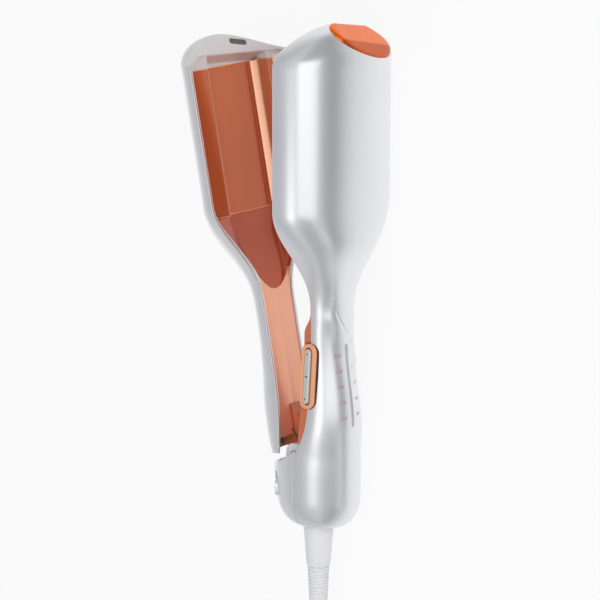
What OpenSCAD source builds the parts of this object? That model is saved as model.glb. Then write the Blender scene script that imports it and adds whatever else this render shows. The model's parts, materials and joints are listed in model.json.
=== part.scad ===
// Hair waver: two long jaws on a spring hinge, a convex heated barrel in the front jaw
// and a matching heated channel in the arm. It lies on its side with the jaws sprung open.
//
// Device axes, before the whole is laid on the table:
//   x  from the bottom of the handle to the tips
//   y  from the front face towards the arm
//   z  along the hinge pin, towards the side that carries the button

/* [Jaws] */
// Half of the width of the front jaw, across the hinge axis
jaw_half_w = 43.4; // [40:0.1:46]
// Half of the width of the arm's jaw, a little less so that both rest on the table
arm_jaw_half_w = 42.85; // [39:0.05:46]
// Where the straight sides of the jaws begin, from the bottom of the handle
jaw_start = 196; // [190:1:205]
// Where the front jaw starts to round over into its dome
jaw_end = 283; // [276:1:288]
// Height of the dome on the front jaw
dome_h = 18; // [14:0.5:22]
// Depth of the front jaw behind its rim
jaw_depth = 28.8; // [26:0.1:32]
// Rim of the front jaw, in front of the middle plane
front_rim = 2.9; // [2:0.1:4]
// Wall of the moulded shells
wall = 2; // [1.6:0.1:2.4]

/* [Neck and handle] */
// Half of the width of the body's neck
neck_half_w = 15.7; // [14.5:0.1:17]
// Front of the neck, from the middle plane
neck_front = 20.1; // [18:0.1:22]
// Rim of the front shell along the neck
neck_rim = 7.4; // [6:0.1:8]
// Half of the width of the handle
grip_half_w = 22.2; // [21:0.1:24]
// Front of the handle, from the middle plane
grip_front = 26.8; // [25:0.1:28]
// Back of the handle at its fullest, from the middle plane
grip_back = 29.5; // [28:0.1:31]

/* [Arm] */
// Rim of the arm, behind the middle plane, jaws closed
arm_rim = 13.5; // [12.5:0.1:14]
// Half of the width of the arm's neck
arm_neck_half_w = 13.8; // [13:0.1:15]
// Half of the width of the arm at its hinge end
arm_tail_half_w = 19.5; // [18:0.1:20]
// Angle between the jaws at rest
open_angle = 12.2; // [8:0.1:14]
// Hinge pin's place along the handle
hinge_x = 44; // [43:0.5:46]
// Hinge pin's place behind the middle plane
hinge_y = 6; // [5:0.5:7]
// Radius of the hinge pin
pin_r = 2.5; // [2:0.1:3]

/* [Heated surfaces] */
// First and last places of the arm's heating plate
plate_start = 188; // [186:1:192]
// End of the arm's heating plate
plate_end = 275; // [272:1:275]
// Level of the channel's side ledges, jaws closed
ledge_y = 17.5; // [16.5:0.1:18]
// Half of the width of the channel at its ledges
channel_half_w = 25.4; // [24:0.1:27]
// Depth of the channel below its ledges
channel_depth = 10; // [8:0.1:10.5]
// Half of the width of the barrel at its base
barrel_half_w = 21.6; // [20:0.1:22]
// Height of the barrel above the front block
barrel_h = 11; // [9:0.1:11]
// Thickness of both heating plates
plate_t = 1.5; // [1.2:0.1:1.6]

/* [Button and scale] */
// Middle of the rocker button, from the bottom of the handle
button_x = 94.6; // [90:0.1:98]
// Length of the button's bezel
bezel_l = 39; // [36:0.5:42]
// Width of the button's bezel
bezel_w = 11.6; // [10:0.1:12]
// Length of the rocker
rocker_l = 33.6; // [30:0.1:34]
// Width of the rocker
rocker_w = 5.4; // [5:0.1:6]
// First end of the temperature scale's light slot
scale_start = 65; // [62:1:70]
// Last end of the temperature scale's light slot
scale_end = 113; // [108:1:116]

/* [Cord] */
// Diameter of the cord
cord_d = 6; // [5:0.1:6.5]
// Length of the strain relief, from the bottom of the handle
boot_l = 65; // [55:1:70]
// Radius of the outer turns of the stored coil, to the middle of the cord
coil_r = 40; // [38:0.5:42]
// Turns in each layer of the coil
coil_turns = 2; // [2:1:2]
// Layers in the coil
coil_layers = 4; // [2:2:4]

/* [Hidden] */

$fn = 48;
silver = "#c9cbcf";
orange = "#d9743f";
peach = "#eba98a";
cap_grey = "#cdcdcd";
dark = "#3a3a3c";
cord_grey = "#dcdcdc";

shoulder_start = 134;
front_middle = 18;      // depth of the dome's highest point in front of the middle plane
arc_steps = 22;         // segments across half a section
fit = 0.3;              // gap between pieces of different bodies
seat = 0.05;            // gap between pieces of one body
lens_dir = [1, -0.81, -0.33] / norm([1, -0.81, -0.33]);
lens_x = 295.4;         // place of the lens face behind the dome's highest point
block_y = 15;           // level of the front block that carries the barrel
arm_depth_keys = [[45, 13], [52, 16.6], [62, 19], [76, 19.6], [95, 16.8], [112, 14.8], [130, 14.3],
    [146, 16], [158, 19.8], [168, 23.6], [178, 24.6], [190, 23.2], [205, 22.4], [280, 22.4]];
arm_end = 278;          // end of the arm's shell, where its tip cap begins
arm_start = 46;
cap_h = 13;             // height of the dome of the arm's tip cap
cap_mid = 16;           // level of its top
cap_slant = 0.26;       // how much higher it is towards the button's side
arm_bend = 2.3;         // exponent of the arm's sections
rear_edge = 34;         // lowest place of the rear shell's scooped edge
rear_rise = 15;
// Places of the body's sections, and how far each section of the arm's tip has drawn in
body_x = [0, 1.2, 3, 6, 10, 15, 20, 30, 40, 47, 50, 54, 58, 63, 68, 75, 84, 94, 104, 113, 122, 130, 138,
    144, 150, 155, 160, 165, 170, 175, 180, 186, 192, 200, 240, jaw_end];
cap_arch_k = [1, 0.992, 0.97, 0.93, 0.86, 0.75, 0.6, 0.4, 0.15];
function cap_swell(k) = pow(1 - pow(k, 1.8), 1 / 1.8);
side_x = 15;            // where the handle's side touches the table
jaw_x = 190;            // where the jaws' sides touch the table

function mix(a, b, t) = a + (b - a) * t;
function clamp(t) = min(1, max(0, t));
function ease(t) = let(c = clamp(t)) c * c * (3 - 2 * c);
function signed_pow(v, p) = sign(v) * pow(abs(v), p);

// Smooth curve through keys [[place, value], ...], level at both ends
function slope(k, i) = i == 0 || i == len(k) - 1 ? 0 : (k[i + 1][1] - k[i - 1][1]) / (k[i + 1][0] - k[i - 1][0]);
function span(k, x, i = 0) = x <= k[i + 1][0] || i == len(k) - 2 ? i : span(k, x, i + 1);
function on_span(k, x, i) = let(h = k[i + 1][0] - k[i][0], t = clamp((x - k[i][0]) / h), e = t * t * (3 - 2 * t))
    mix(k[i][1], k[i + 1][1], e) + h * t * (1 - t) * ((1 - t) * slope(k, i) - t * slope(k, i + 1));
function along(k, x) = on_span(k, x, span(k, x));

// How far the bottom of the handle has rounded out, from 0.45 at the swivel to 1
function bottom_round(x) = x >= 20 ? 1 : 0.45 + 0.55 * pow(1 - pow((20 - x) / 20, 2.2), 1 / 2.2);
// Half width of the body, rim and front of its shell, and the exponent of its sections
function body_w(x) = bottom_round(x) * (x > shoulder_start
    ? mix(neck_half_w, jaw_half_w, ease(pow(clamp((x - shoulder_start) / (jaw_start - shoulder_start)), 1.15)))
    : mix(neck_half_w, grip_half_w, ease(pow(clamp((113 - x) / 78), 1.1))));
function body_rim(x) = x < 75 ? neck_rim * (1 - pow(1 - clamp((x - 47) / 28), 2.5))
    : x < shoulder_start ? neck_rim : mix(neck_rim, front_rim, ease((x - shoulder_start) / 52));
function body_front(x) = bottom_round(x) * (x > 128
    ? mix(neck_front, jaw_depth + front_rim, ease(pow(clamp((x - 130) / 48), 1.3)))
    : mix(neck_front, grip_front, ease((122 - x) / 60)));
function body_bend(x) = 2 + 0.4 * ease((x - 60) / 110);
function body_back(x) = bottom_round(x) * mix(grip_back - 3, grip_back, ease((x - 8) / 26));
function arm_w(x) = x > 100
    ? mix(arm_neck_half_w, arm_jaw_half_w, ease(pow(clamp((x - 136) / (jaw_start - 136)), 1.15)))
    : mix(arm_neck_half_w, arm_tail_half_w, pow(clamp((100 - x) / 50), 2.5));
function arm_depth(x) = along(arm_depth_keys, x);

// Half of a superellipse as [y, z] pairs, from one rim over the crown to the other.
// dir is -1 for the front face and 1 for the arm's side.
function half_section(w, rim, depth, bend, dir, steps = arc_steps) = [for (i = [0:steps])
    let(a = 180 * i / steps)
    [dir * (rim + depth * signed_pow(sin(a), 2 / bend)), dir * w * signed_pow(cos(a), 2 / bend)]];
function at_x(x, pts) = [for (p = pts) [x, p[0], p[1]]];
function shrink(pts, mid, k) = [for (p = pts) [mid + (p[0] - mid) * k, p[1] * k]];

// Skin over closed rings that all have the same number of points, flat at both ends
module skin(rings) {
    n = len(rings[0]);
    last = (len(rings) - 1) * n;
    polyhedron(points = [for (r = rings) each r], faces = [
        [for (j = [n - 1:-1:0]) j],
        [for (j = [0:n - 1]) last + j],
        for (i = [0:len(rings) - 2], j = [0:n - 1])
            let(a = i * n + j, b = i * n + (j + 1) % n) each [[a, b, b + n], [a, b + n, a + n]]]);
}

// Open half shell between an outer and an inner list of half sections
module half_shell(outer, inner) {
    k = len(outer[0]);
    rings = [for (i = [0:len(outer) - 1]) concat(outer[i], [for (j = [k - 1:-1:0]) inner[i][j]])];
    n = 2 * k;
    last = (len(rings) - 1) * n;
    polyhedron(points = [for (r = rings) each r], faces = [
        for (j = [0:k - 2]) let(a = j, b = j + 1, c = n - 2 - j, d = n - 1 - j) each [[a, c, b], [a, d, c]],
        for (j = [0:k - 2]) let(a = last + j, b = last + j + 1, c = last + n - 2 - j, d = last + n - 1 - j)
            each [[a, b, c], [a, c, d]],
        for (i = [0:len(rings) - 2], j = [0:n - 1])
            let(a = i * n + j, b = i * n + (j + 1) % n) each [[a, b, b + n], [a, b + n, a + n]]]);
}

// Lying on the table: the whole device tips up at its jaws until their sides and the handle's touch it
tilt = atan((body_w(jaw_x) - body_w(side_x)) / (jaw_x - side_x));
function table_gap(x) = body_w(x) * cos(tilt) - x * sin(tilt);
rest_z = max([for (x = body_x) table_gap(x)]);
far_y = hinge_y + max([for (k = cap_arch_k) (arm_end + seat + cap_h * cap_swell(k) - hinge_x) * sin(open_angle)
    + (mix(cap_mid, arm_rim + arm_depth(arm_end), k) - hinge_y) * cos(open_angle)]);
front_y = -(jaw_depth + front_rim);
lens_cut = 3.6;         // how much the lens face shortens the dome along the table
origin = [(jaw_end + dome_h - lens_cut - boot_l * cos(tilt) - 3.9 * sin(tilt)) / 2, (front_y + far_y) / 2, -rest_z];
module lay() {
    translate(-origin) rotate([0, -tilt, 0]) children();
}
function laid(p) = [p[0] * cos(tilt) - p[2] * sin(tilt), p[1], p[0] * sin(tilt) + p[2] * cos(tilt)] - origin;
module open_arm() {
    lay() translate([hinge_x, hinge_y, 0]) rotate([0, 0, open_angle]) translate([-hinge_x, -hinge_y, 0])
        children();
}

// ---- body shells ----
dome_k = [0.98, 0.94, 0.87, 0.76, 0.62, 0.46, 0.28, 0.1];
function dome_x(k) = jaw_end + dome_h * (1 - pow(k, 2.2));
function front_half(x, t) = half_section(body_w(x) - t, body_rim(x), body_front(x) - body_rim(x) - t, body_bend(x), -1);
function front_rings(t) = concat(
    [for (x = body_x) at_x(x, front_half(x, t))],
    [for (k = dome_k) at_x(dome_x(k) - t, shrink(front_half(jaw_end, t), -front_middle, k))]);

// Everything beyond the lens face
module beyond_lens(from, to) {
    translate([lens_x, -front_middle, 0]) rotate([0, acos(lens_dir[2]), atan2(lens_dir[1], lens_dir[0])])
        translate([-60, -60, from]) cube([120, 120, to - from]);
}

// Racetrack with its middle at the origin, its long side along x
module racetrack(l, w, h) {
    linear_extrude(h) union() {
        square([l - w, w], center = true);
        for (s = [-1, 1]) translate([s * (l - w) / 2, 0]) circle(d = w);
    }
}

button_y = -8;
button_z = 12.2;
button_lean = 4;
// Frame of the button: its face looks along +z and leans with the side of the neck
module at_button() {
    translate([button_x, button_y, button_z]) rotate([0, button_lean, 0]) children();
}

// Prism along the crown of the handle between two levels below the surface
module scale_prism(x0, x1, from, to, w) {
    xs = [for (i = [0:12]) mix(x0, x1, i / 12)];
    translate([0, 0, -w / 2]) linear_extrude(w) polygon(concat(
        [for (x = xs) [x, -body_front(x) + from]],
        [for (i = [12:-1:0]) [xs[i], -body_front(xs[i]) + to]]));
}

module front_shell() {
    color(silver) lay() difference() {
        half_shell(front_rings(0), front_rings(wall));
        beyond_lens(0, 40);
        at_button() racetrack(bezel_l + 0.2, bezel_w + 0.2, 12);
        scale_prism(scale_start, scale_end, -1, 4, 1.4);
    }
}

rear_x = [0, 1.2, 3, 6, 10, 15, 20];
rear_t = [0.25, 0.5, 0.7, 0.85, 0.95, 1];
function rear_half(x, t) = half_section(body_w(x) - t, 0, body_back(x) - t, 2, 1);
// Edge of the scoop: highest at the sides of the handle, lowest at its back
function scoop_x(y) = rear_edge + rear_rise * pow(1 - clamp(y / grip_back), 1.6);
function rear_ring(t, k) = [for (p = rear_half(30, t)) let(x = mix(20, scoop_x(p[0]), k), f = body_back(x) / body_back(30))
    [x, p[0] * f, p[1] * body_w(x) / body_w(30)]];
module rear_shell() {
    color(silver) lay() difference() {
        half_shell(
            concat([for (x = rear_x) at_x(x, rear_half(x, 0))], [for (k = rear_t) rear_ring(0, k)]),
            concat([for (x = rear_x) at_x(x, rear_half(x, wall))], [for (k = rear_t) rear_ring(wall, k)]));
        at_lock() racetrack(15.4, 6.4, 8);
    }
}

// ---- front jaw ----
liner_x = [54, 59, 66, 75, 90, 105, 118, 123, 127, 131, 136, 142, 148, 154, 160, 166, 172, 178, 184, 190,
    200, jaw_end - 1];
function liner_ring(x) = let(
        j = clamp((body_w(x) - neck_half_w - 2) / (jaw_half_w - neck_half_w - 2)) * clamp((x - shoulder_start) / 20),
        low = mix(1.2, body_rim(x) - 1, ease((x - 119) / 13)),
        rim = body_rim(x), w = body_w(x),
        half = [[-rim + seat, w - 0.3], [-low, w - 0.9 - 0.6 * j], [mix(-low + 0.1, 9, j), mix(9, 30.2, j)],
            [mix(-low + 0.2, block_y, j), mix(7, 23.8, j)]])
    at_x(x, concat(half, [for (i = [3:-1:0]) [half[i][0], -half[i][1]]]));
// The room inside the liner, open towards the front shell
function liner_room(x) = let(
        j = clamp((body_w(x) - neck_half_w - 2) / (jaw_half_w - neck_half_w - 2)) * clamp((x - shoulder_start) / 20),
        low = mix(1.2, body_rim(x) - 1, ease((x - 119) / 13)),
        rim = body_rim(x), w = body_w(x) - 2.9,
        half = [[-rim - 0.8, w - 0.2 * j], [-low - mix(2, 1.5, j), w - 0.4 * j], [mix(-low - 1.95, 7.5, j), mix(9, 28.6, j)],
            [mix(-low - 1.9, 13, j), mix(7, 22.6, j)]])
    at_x(x, concat(half, [for (i = [3:-1:0]) [half[i][0], -half[i][1]]]));
module front_liner() {
    color(orange) lay() difference() {
        skin([for (x = liner_x) liner_ring(x)]);
        skin([for (x = liner_x) if (x > 140 && x < 270) liner_room(x), liner_room(jaw_end - 6.5)]);
        // the step that the arm's tip cap closes over
        translate([arm_end + 0.7, arm_rim - 0.4, -50]) cube([10, 10, 100]);
        at_button() translate([-bezel_l / 2 - 0.1, -bezel_w / 2 - 0.1, -3]) cube([bezel_l + 0.2, 12, 15]);
    }
}

// Convex barrel: a superelliptic crown, t is how far inside its surface
barrel_steps = 20;
barrel_start = 190;
barrel_end = 272;
function barrel_profile(t) = [for (i = [0:barrel_steps]) let(a = 180 * i / barrel_steps)
    [block_y + seat + (barrel_h - t) * signed_pow(sin(a), 1.1), (barrel_half_w - t) * signed_pow(cos(a), 1.1)]];
// A profile of [y, z] pairs run along x
module run_x(x0, x1, pts) {
    translate([x0, 0, 0]) rotate([90, 0, 90]) linear_extrude(x1 - x0) polygon(pts);
}
module barrel_plate() {
    color(orange) lay() difference() {
        run_x(barrel_start, barrel_end, barrel_profile(0));
        run_x(barrel_start + 2, barrel_end - 2, barrel_profile(plate_t));
    }
}
module barrel_heater() {
    color("#e8e4dc") lay() translate([196, block_y + 4.2, -8]) cube([72, 4, 16]);
}
module barrel_insulator() {
    color("#b9b08a") lay() translate([194, block_y + 0.2, -12]) cube([74, 3.9, 24]);
}
module barrel_thermistor() {
    color(dark) lay() translate([228, block_y + 5.5, 10]) rotate([0, 90, 0]) cylinder(r = 1.2, h = 6);
}
module barrel_fuse() {
    color("#c9a24a") lay() translate([206, block_y + 5.7, -10.5]) rotate([0, 90, 0]) cylinder(r = 1.5, h = 12);
}

// Pale cap behind the dome, seen as a thin border past the shell's edge
cap_k = [1, 0.98, 0.94, 0.87, 0.76, 0.62, 0.46, 0.28];
function tip_cap_ring(k) = let(e = -front_middle + (front_middle - front_rim) * k - seat, b = (jaw_half_w - wall - 0.3) * k,
        x = (k == 1 ? jaw_end - 0.8 : dome_x(k)) - 0.2)
    [[x, e, -b], [x - 0.4, e - 3.4, -b * 0.97], [x - 0.4, e - 3.4, b * 0.97], [x, e, b]];
module front_tip_cap() {
    color(cap_grey) lay() intersection() {
        skin([for (k = cap_k) tip_cap_ring(k)]);
        beyond_lens(-120, -4);
    }
}

lens_k = [1, 0.98, 0.94, 0.87, 0.76, 0.62, 0.46, 0.28, 0.1];
module tip_lens() {
    t = wall + seat;
    color(orange) lay() intersection() {
        skin(concat([at_x(262, front_half(262, t))],
            [for (k = lens_k) at_x(dome_x(k) - t, shrink(front_half(jaw_end, t), -front_middle, k))]));
        beyond_lens(-2.4, 0);
    }
}

// ---- button and scale ----
module button_bezel() {
    color(orange) lay() at_button() difference() {
        racetrack(bezel_l, bezel_w, 6.2);
        translate([0, 0, -1]) racetrack(rocker_l + 1, rocker_w + 0.8, 9);
        translate([0, -10, 2.2]) rotate([-90, 0, 0]) cylinder(r = 1, h = 20);
    }
}
module rocker_button() {
    color("#b9b6b0") lay() at_button() difference() {
        translate([0, 0, 1.2]) racetrack(rocker_l, rocker_w, 7.2);
        translate([0, 0, 8.75]) rotate([0, 0, 0]) cylinder(r = 0.8, h = 1, center = true);
        for (s = [-1, 1]) translate([s * 13, 0, 8.4]) cylinder(r = 0.5, h = 0.8, center = true);
        for (s = [-1, 1]) translate([s * 10, -5, 0]) rotate([0, s * 4, 0]) translate([-9, 0, 0]) cube([18, 10, 1.6]);
        translate([0, -10, 2.2]) rotate([-90, 0, 0]) cylinder(r = 1.06, h = 20);
    }
}
module rocker_pin() {
    color("silver") lay() at_button() translate([0, -bezel_w / 2 + 0.4, 2.2]) rotate([-90, 0, 0])
        cylinder(r = 1, h = bezel_w - 0.8);
}
module button_switches() {
    color(dark) lay() at_button() for (s = [-1, 1]) translate([s * 13, 0, -2.8]) {
        translate([0, 0, 1.2]) cube([6, 6, 2.4], center = true);
        translate([0, 0, 2.4]) cylinder(r = 1.5, h = 0.5);
    }
}
module control_board() {
    color("#2f6b4f") lay() difference() {
        translate([50, -15.2, -8.2]) cube([66, 1.6, 16.4]);
        for (x = [54, 112]) translate([x, -20, 0]) rotate([-90, 0, 0]) cylinder(r = 1.4, h = 10);
    }
}
module power_parts() {
    color(dark) lay() {
        translate([59, -13.58, -6]) cube([12, 5.6, 9]);
        translate([76, -13.58, -5]) cube([10, 4.6, 4.5]);
        translate([102, -13.58, -1]) rotate([-90, 0, 0]) cylinder(r = 4.5, h = 5.4);
    }
}
module light_strip() {
    color("#f4f4f4") lay() scale_prism(scale_start + 0.2, scale_end - 0.2, 0.5, 3, 1.2);
}
module scale_lights() {
    color("#fff6e0") lay() for (i = [0:4]) let(x = mix(scale_start + 5, scale_end - 5, i / 4), y = -body_front(x) + 3.4)
        translate([x - 1.5, y, -1.2]) cube([3, -15.25 - y, 2.4]);
}

// ---- hinge ----
ear_z = 11;
module hinge_bracket() {
    color(cap_grey) lay() difference() {
        union() {
            for (s = [-1, 1]) translate([hinge_x, hinge_y, s > 0 ? ear_z : -ear_z - 4]) {
                cylinder(r = 6.6, h = 4);
                translate([-6.6, -10.4, 0]) cube([13.2, 10.4, 4]);
            }
            translate([hinge_x - 12, hinge_y - 13.4, -15]) cube([20, 3, 30]);
        }
        translate([hinge_x, hinge_y, -20]) cylinder(r = pin_r, h = 40);
    }
}
module hinge_pin() {
    color("silver") lay() translate([hinge_x, hinge_y, -15.4]) cylinder(r = pin_r, h = 30.8);
}
module hinge_washers() {
    color("#d8cfa8") lay() for (z = [-10.95, 10.15]) translate([hinge_x, hinge_y, z]) difference() {
        cylinder(r = 5, h = 0.8);
        translate([0, 0, -1]) cylinder(r = pin_r + 0.05, h = 3);
    }
}

// Tube of 6 sides along points, each ring square to the path
function unit(v) = v / norm(v);
function tangent(p, i) = unit(p[min(i + 1, len(p) - 1)] - p[max(i - 1, 0)]);
function path_ring(c, t, r, sides) = let(flat = abs(t[2]) > 0.9 ? [1, 0, 0] : [0, 0, 1], a = unit(cross(t, flat)), b = cross(a, t))
    [for (j = [0:sides - 1]) let(g = 360 * (j + 0.5) / sides) c + r * (cos(g) * a + sin(g) * b)];
module tube(path, r, sides = 6) {
    skin([for (i = [0:len(path) - 1]) path_ring(path[i], tangent(path, i), r, sides)]);
}

// Torsion spring round the pin: one wire with a leg at each end
spring_r = 4.3;
spring_turns = 4.125;
spring_path = concat([[-9.5, -spring_r, 3.9], [-5, -spring_r, 3.9]],
    [for (i = [0:8 * spring_turns]) let(a = -90 + 360 * i / 8) [spring_r * cos(a), spring_r * sin(a), 3.9 + 1.28 * i / 8]],
    [for (d = [5, 10.2]) [spring_r * cos(45) + d, d - spring_r * cos(45), 3.9 + 1.28 * spring_turns]]);
module hinge_spring() {
    color("#9c9c9c") lay() translate([hinge_x, hinge_y, 0]) tube(spring_path, 0.5);
}

// Slider that locks the jaws shut, on the button's side of the handle's back
module at_lock() {
    translate([24, 17.2, 15.4]) rotate([-49, 0, 0]) translate([0, 0, -2]) children();
}
module lock_slider() {
    color(cap_grey) lay() at_lock() translate([-2.5, 0, 0]) union() {
        racetrack(9.8, 5.8, 5.4);
        for (i = [-1:1]) translate([i * 2, 0, 5.6]) cube([0.8, 4.6, 0.9], center = true);
    }
}

// ---- inside the handle, swivel and strain relief ----
module swivel_housing() {
    color(dark) lay() difference() {
        translate([3, 0, 0]) rotate([0, 90, 0]) cylinder(r = 11, h = 15);
        translate([2, 0, 0]) rotate([0, 90, 0]) cylinder(r = 7.06, h = 13);
        translate([2, 0, 0]) rotate([0, 90, 0]) cylinder(r = 2, h = 30);
    }
}
module swivel_contacts() {
    color("#c9a24a") lay() translate([18.1, 0, 0]) rotate([0, 90, 0]) for (r = [4, 8]) difference() {
        cylinder(r = r, h = 1.2);
        translate([0, 0, -1]) cylinder(r = r - 1.6, h = 4);
    }
}
rib_pitch = 2.1;
rib_count = 17;
module strain_relief() {
    color(cord_grey) lay() rotate([0, 90, 0]) difference() {
        union() {
            translate([0, 0, 3.2]) cylinder(r = 7, h = 10);
            translate([0, 0, -0.8]) cylinder(r = 7, h = 4.1);
            translate([0, 0, -27]) cylinder(r1 = 7, r2 = 9, h = 26.3);
            rotate_extrude() polygon(concat([[0, -27.2], [6.6, -27.2], [6.6, -27]], [[0, -27]]));
            translate([0, 0, -boot_l]) cylinder(r1 = 3.9, r2 = 5.4, h = boot_l - 26.9);
            for (i = [0:rib_count - 1]) let(z = -28.4 - i * rib_pitch)
                translate([0, 0, z - 0.65]) cylinder(r = 6.5 - 1.6 * i / (rib_count - 1), h = 1.3);
        }
        translate([0, 0, -boot_l - 1]) cylinder(r = cord_d / 2 + 0.05, h = boot_l - 2);
    }
}
module lead_wires() {
    color("#a33") lay() for (s = [-1, 1]) tube([[20, -3, 3 * s], [24, -5, 4 * s], [32, -10, 5 * s],
        [42, -13, 5 * s], [49.8, -14, 5 * s]], 0.9);
}
module case_screws() {
    color("silver") lay() for (x = [54, 112]) translate([x, -17.4, 0]) rotate([-90, 0, 0]) {
        cylinder(r = 1.35, h = 4);
        translate([0, 0, 3.82]) cylinder(r = 2.4, h = 1.4);
    }
}

// ---- arm, drawn with the jaws closed ----
arm_x = [arm_start, 49, 52, 56, 60, 65, 70, 76, 84, 94, 104, 114, 124, 134, 142, 148, 153, 158, 163, 168, 173,
    178, 184, 190, 196, 205, 240, arm_end];
function arm_half(x, t) = half_section(arm_w(x) - t, arm_rim, arm_depth(x) - t, arm_bend, 1);
module arm_shell() {
    color(silver) open_arm() half_shell(
        [for (x = arm_x) at_x(x, arm_half(x, 0))], [for (x = arm_x) at_x(x, arm_half(x, wall))]);
}

// Tray that lines the arm: flat along the neck, then a channel that opens out of a V
tray_x = [54, 60, 66, 74, 84, 96, 110, 125, 136, 142, 146, 150, 154, 158, 162, 166, 170, 175, 180, plate_start - seat];
function channel_w(x) = mix(1, channel_half_w, pow(clamp((x - 141) / 43), 0.55));
function tray_top(x) = let(w = arm_w(x) - wall - 0.1, h = min(channel_w(x), w - 1.2), d = channel_depth * ease((x - 139) / 38),
        ledge = mix(arm_rim + 1.3, ledge_y, ease((x - 142) / 40)), f = h / channel_half_w)
    [[arm_rim + 0.8, w - 0.2], [ledge, h], [ledge + d * 0.85 + 0.02, h - 3.4 * f], [ledge + d + 0.04, h - 8 * f]];
tray_out = [-0.2, 0.5, 0.5, 0.5];
function tray_ring(x) = let(a = tray_top(x), t = 1.5)
    at_x(x, concat([for (i = [0:3]) [a[i][0] + t, a[i][1] + tray_out[i]]],
        [for (i = [3:-1:0]) [a[i][0] + t, -a[i][1] - tray_out[i]]],
        [for (p = a) [p[0], -p[1]]], [for (i = [3:-1:0]) a[i]]));
module arm_liner() {
    color(peach) open_arm() difference() {
        skin([for (x = tray_x) tray_ring(x)]);
        for (s = [-1, 1]) translate([152, 0, s * 14.6]) rotate([-90, 0, 0]) cylinder(r = 1.3, h = 40);
    }
}

// Channel plate: a flange on each ledge, sloped walls, eased feet and a flat floor
flange_half_w = 39.4;
function channel_half(t) = let(y = ledge_y + t, w = channel_half_w + 0.8 * t, d = channel_depth)
    [[y, w], [y + 0.66 * d, w - 3.1], [y + 0.88 * d, w - 4.9], [y + 0.97 * d, w - 6.6], [y + d, w - 9]];
module channel_plate() {
    top = concat([[ledge_y, flange_half_w]], channel_half(0));
    under = concat([[ledge_y + plate_t, flange_half_w]], channel_half(plate_t));
    n = len(top) - 1;
    color(orange) open_arm() run_x(plate_start, plate_end, concat(top, [for (i = [n:-1:0]) [top[i][0], -top[i][1]]],
        [for (p = under) [p[0], -p[1]]], [for (i = [n:-1:0]) under[i]]));
}
heater_y = ledge_y + channel_depth + plate_t;
module channel_heater() {
    color("#e8e4dc") open_arm() translate([196, heater_y + seat, -10]) cube([72, 2.4, 20]);
}
module channel_insulator() {
    color("#b9b08a") open_arm() translate([194, heater_y + 2.5, -11]) cube([76, 1.2, 22]);
}
module channel_thermistor() {
    color(dark) open_arm() translate([228, heater_y + 1.2, 12.4]) rotate([0, 90, 0]) cylinder(r = 1.1, h = 6);
}

function cap_ring(k) = [for (p = arm_half(arm_end, 0)) [arm_end + seat + (cap_h + cap_slant * p[1] * k) * cap_swell(k),
    mix(cap_mid, p[0], k), p[1] * k]];
module arm_tip_cap() {
    color(cap_grey) open_arm() difference() {
        union() {
            skin([for (k = cap_arch_k) cap_ring(k)]);
            skin([for (x = [plate_end + seat, arm_end + 1]) at_x(x, arm_half(arm_end, wall + 0.1))]);
        }
        // Shallow pocket at the level of the ledges, with rounded corners
        translate([0, arm_rim - 5, 0]) rotate([-90, 0, 0]) linear_extrude(5 + ledge_y - arm_rim) hull() {
            translate([260, -41]) square([1, 82]);
            translate([269.5, 31.2]) circle(r = 9.8);
            translate([273, -31.2]) circle(r = 9.8);
        }
        // Sloped end of the channel
        skin([for (s = [-1, 1]) let(z = s * (channel_half_w - 1), d = 1.25 * s, low = ledge_y + channel_depth)
            [[260, ledge_y - 1, z], [260, low, z], [276.4 + d, low, z], [280.7 + d, ledge_y, z], [281.1 + d, ledge_y - 1, z]]]);
        // Slot in the land
        translate([287.4, arm_rim - 1, 0]) rotate([-90, 0, 0]) rotate([0, 0, 100.8]) racetrack(14.4, 3.2, 3.2);
    }
}
module hinge_knuckle() {
    color(orange) open_arm() difference() {
        union() {
            translate([hinge_x, hinge_y, -10.1]) cylinder(r = 6, h = 13.2);
            translate([0, 0, -10.1]) linear_extrude(13.2) polygon([[hinge_x - 3, hinge_y + 5], [hinge_x + 4, hinge_y - 4.4],
                [66, 9.6], [72, 14.15], [53.85, 14.15], [53.85, 26.6], [48, 24]]);
        }
        translate([hinge_x, hinge_y, -20]) cylinder(r = pin_r + 0.06, h = 40);
    }
}
module arm_wires() {
    color("#a33") open_arm() for (s = [-1, 1]) tube([[74, 20, 2 * s], [100, 21, 2.5 * s], [126, 20.5, 2.5 * s],
        [150, 22, 3 * s], [168, 30, 4 * s], [180, 31.2, 5 * s], [193.8, 31.4, 6 * s]], 0.8);
}
module arm_screws() {
    color("silver") open_arm() for (s = [-1, 1]) translate([152, 19.7, s * 11.5]) rotate([-90, 0, 0])
        cylinder(r = 1.2, h = 3.4);
}

// ---- cord ----
boot_end = laid([-boot_l, 0, 0]);
boot_dir = unit(laid([-boot_l, 0, 0]) - laid([0, 0, 0]));
coil_middle = [-253, boot_end[1] + coil_r];
coil_pitch = cord_d + 0.6;
coil_rings = 24;
coil_loops = coil_turns * coil_layers;
coil_start = [coil_middle[0], coil_middle[1] - coil_r, cord_d / 2];
// The cord's route where it isn't coiled, as it lies on the table
lead_route = [for (p = [[-205, 8], [-220, 5], [-234, 3.3], [-241, 3]]) [p[0], boot_end[1], p[1]]];
tail_route = [[-276, -25, 21], [-294, -17, 14], [-307, -3, 8.4], [-314, 14, 7], [-316, 22, 7]];
plug_entry = [-316, 30, 7];
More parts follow.
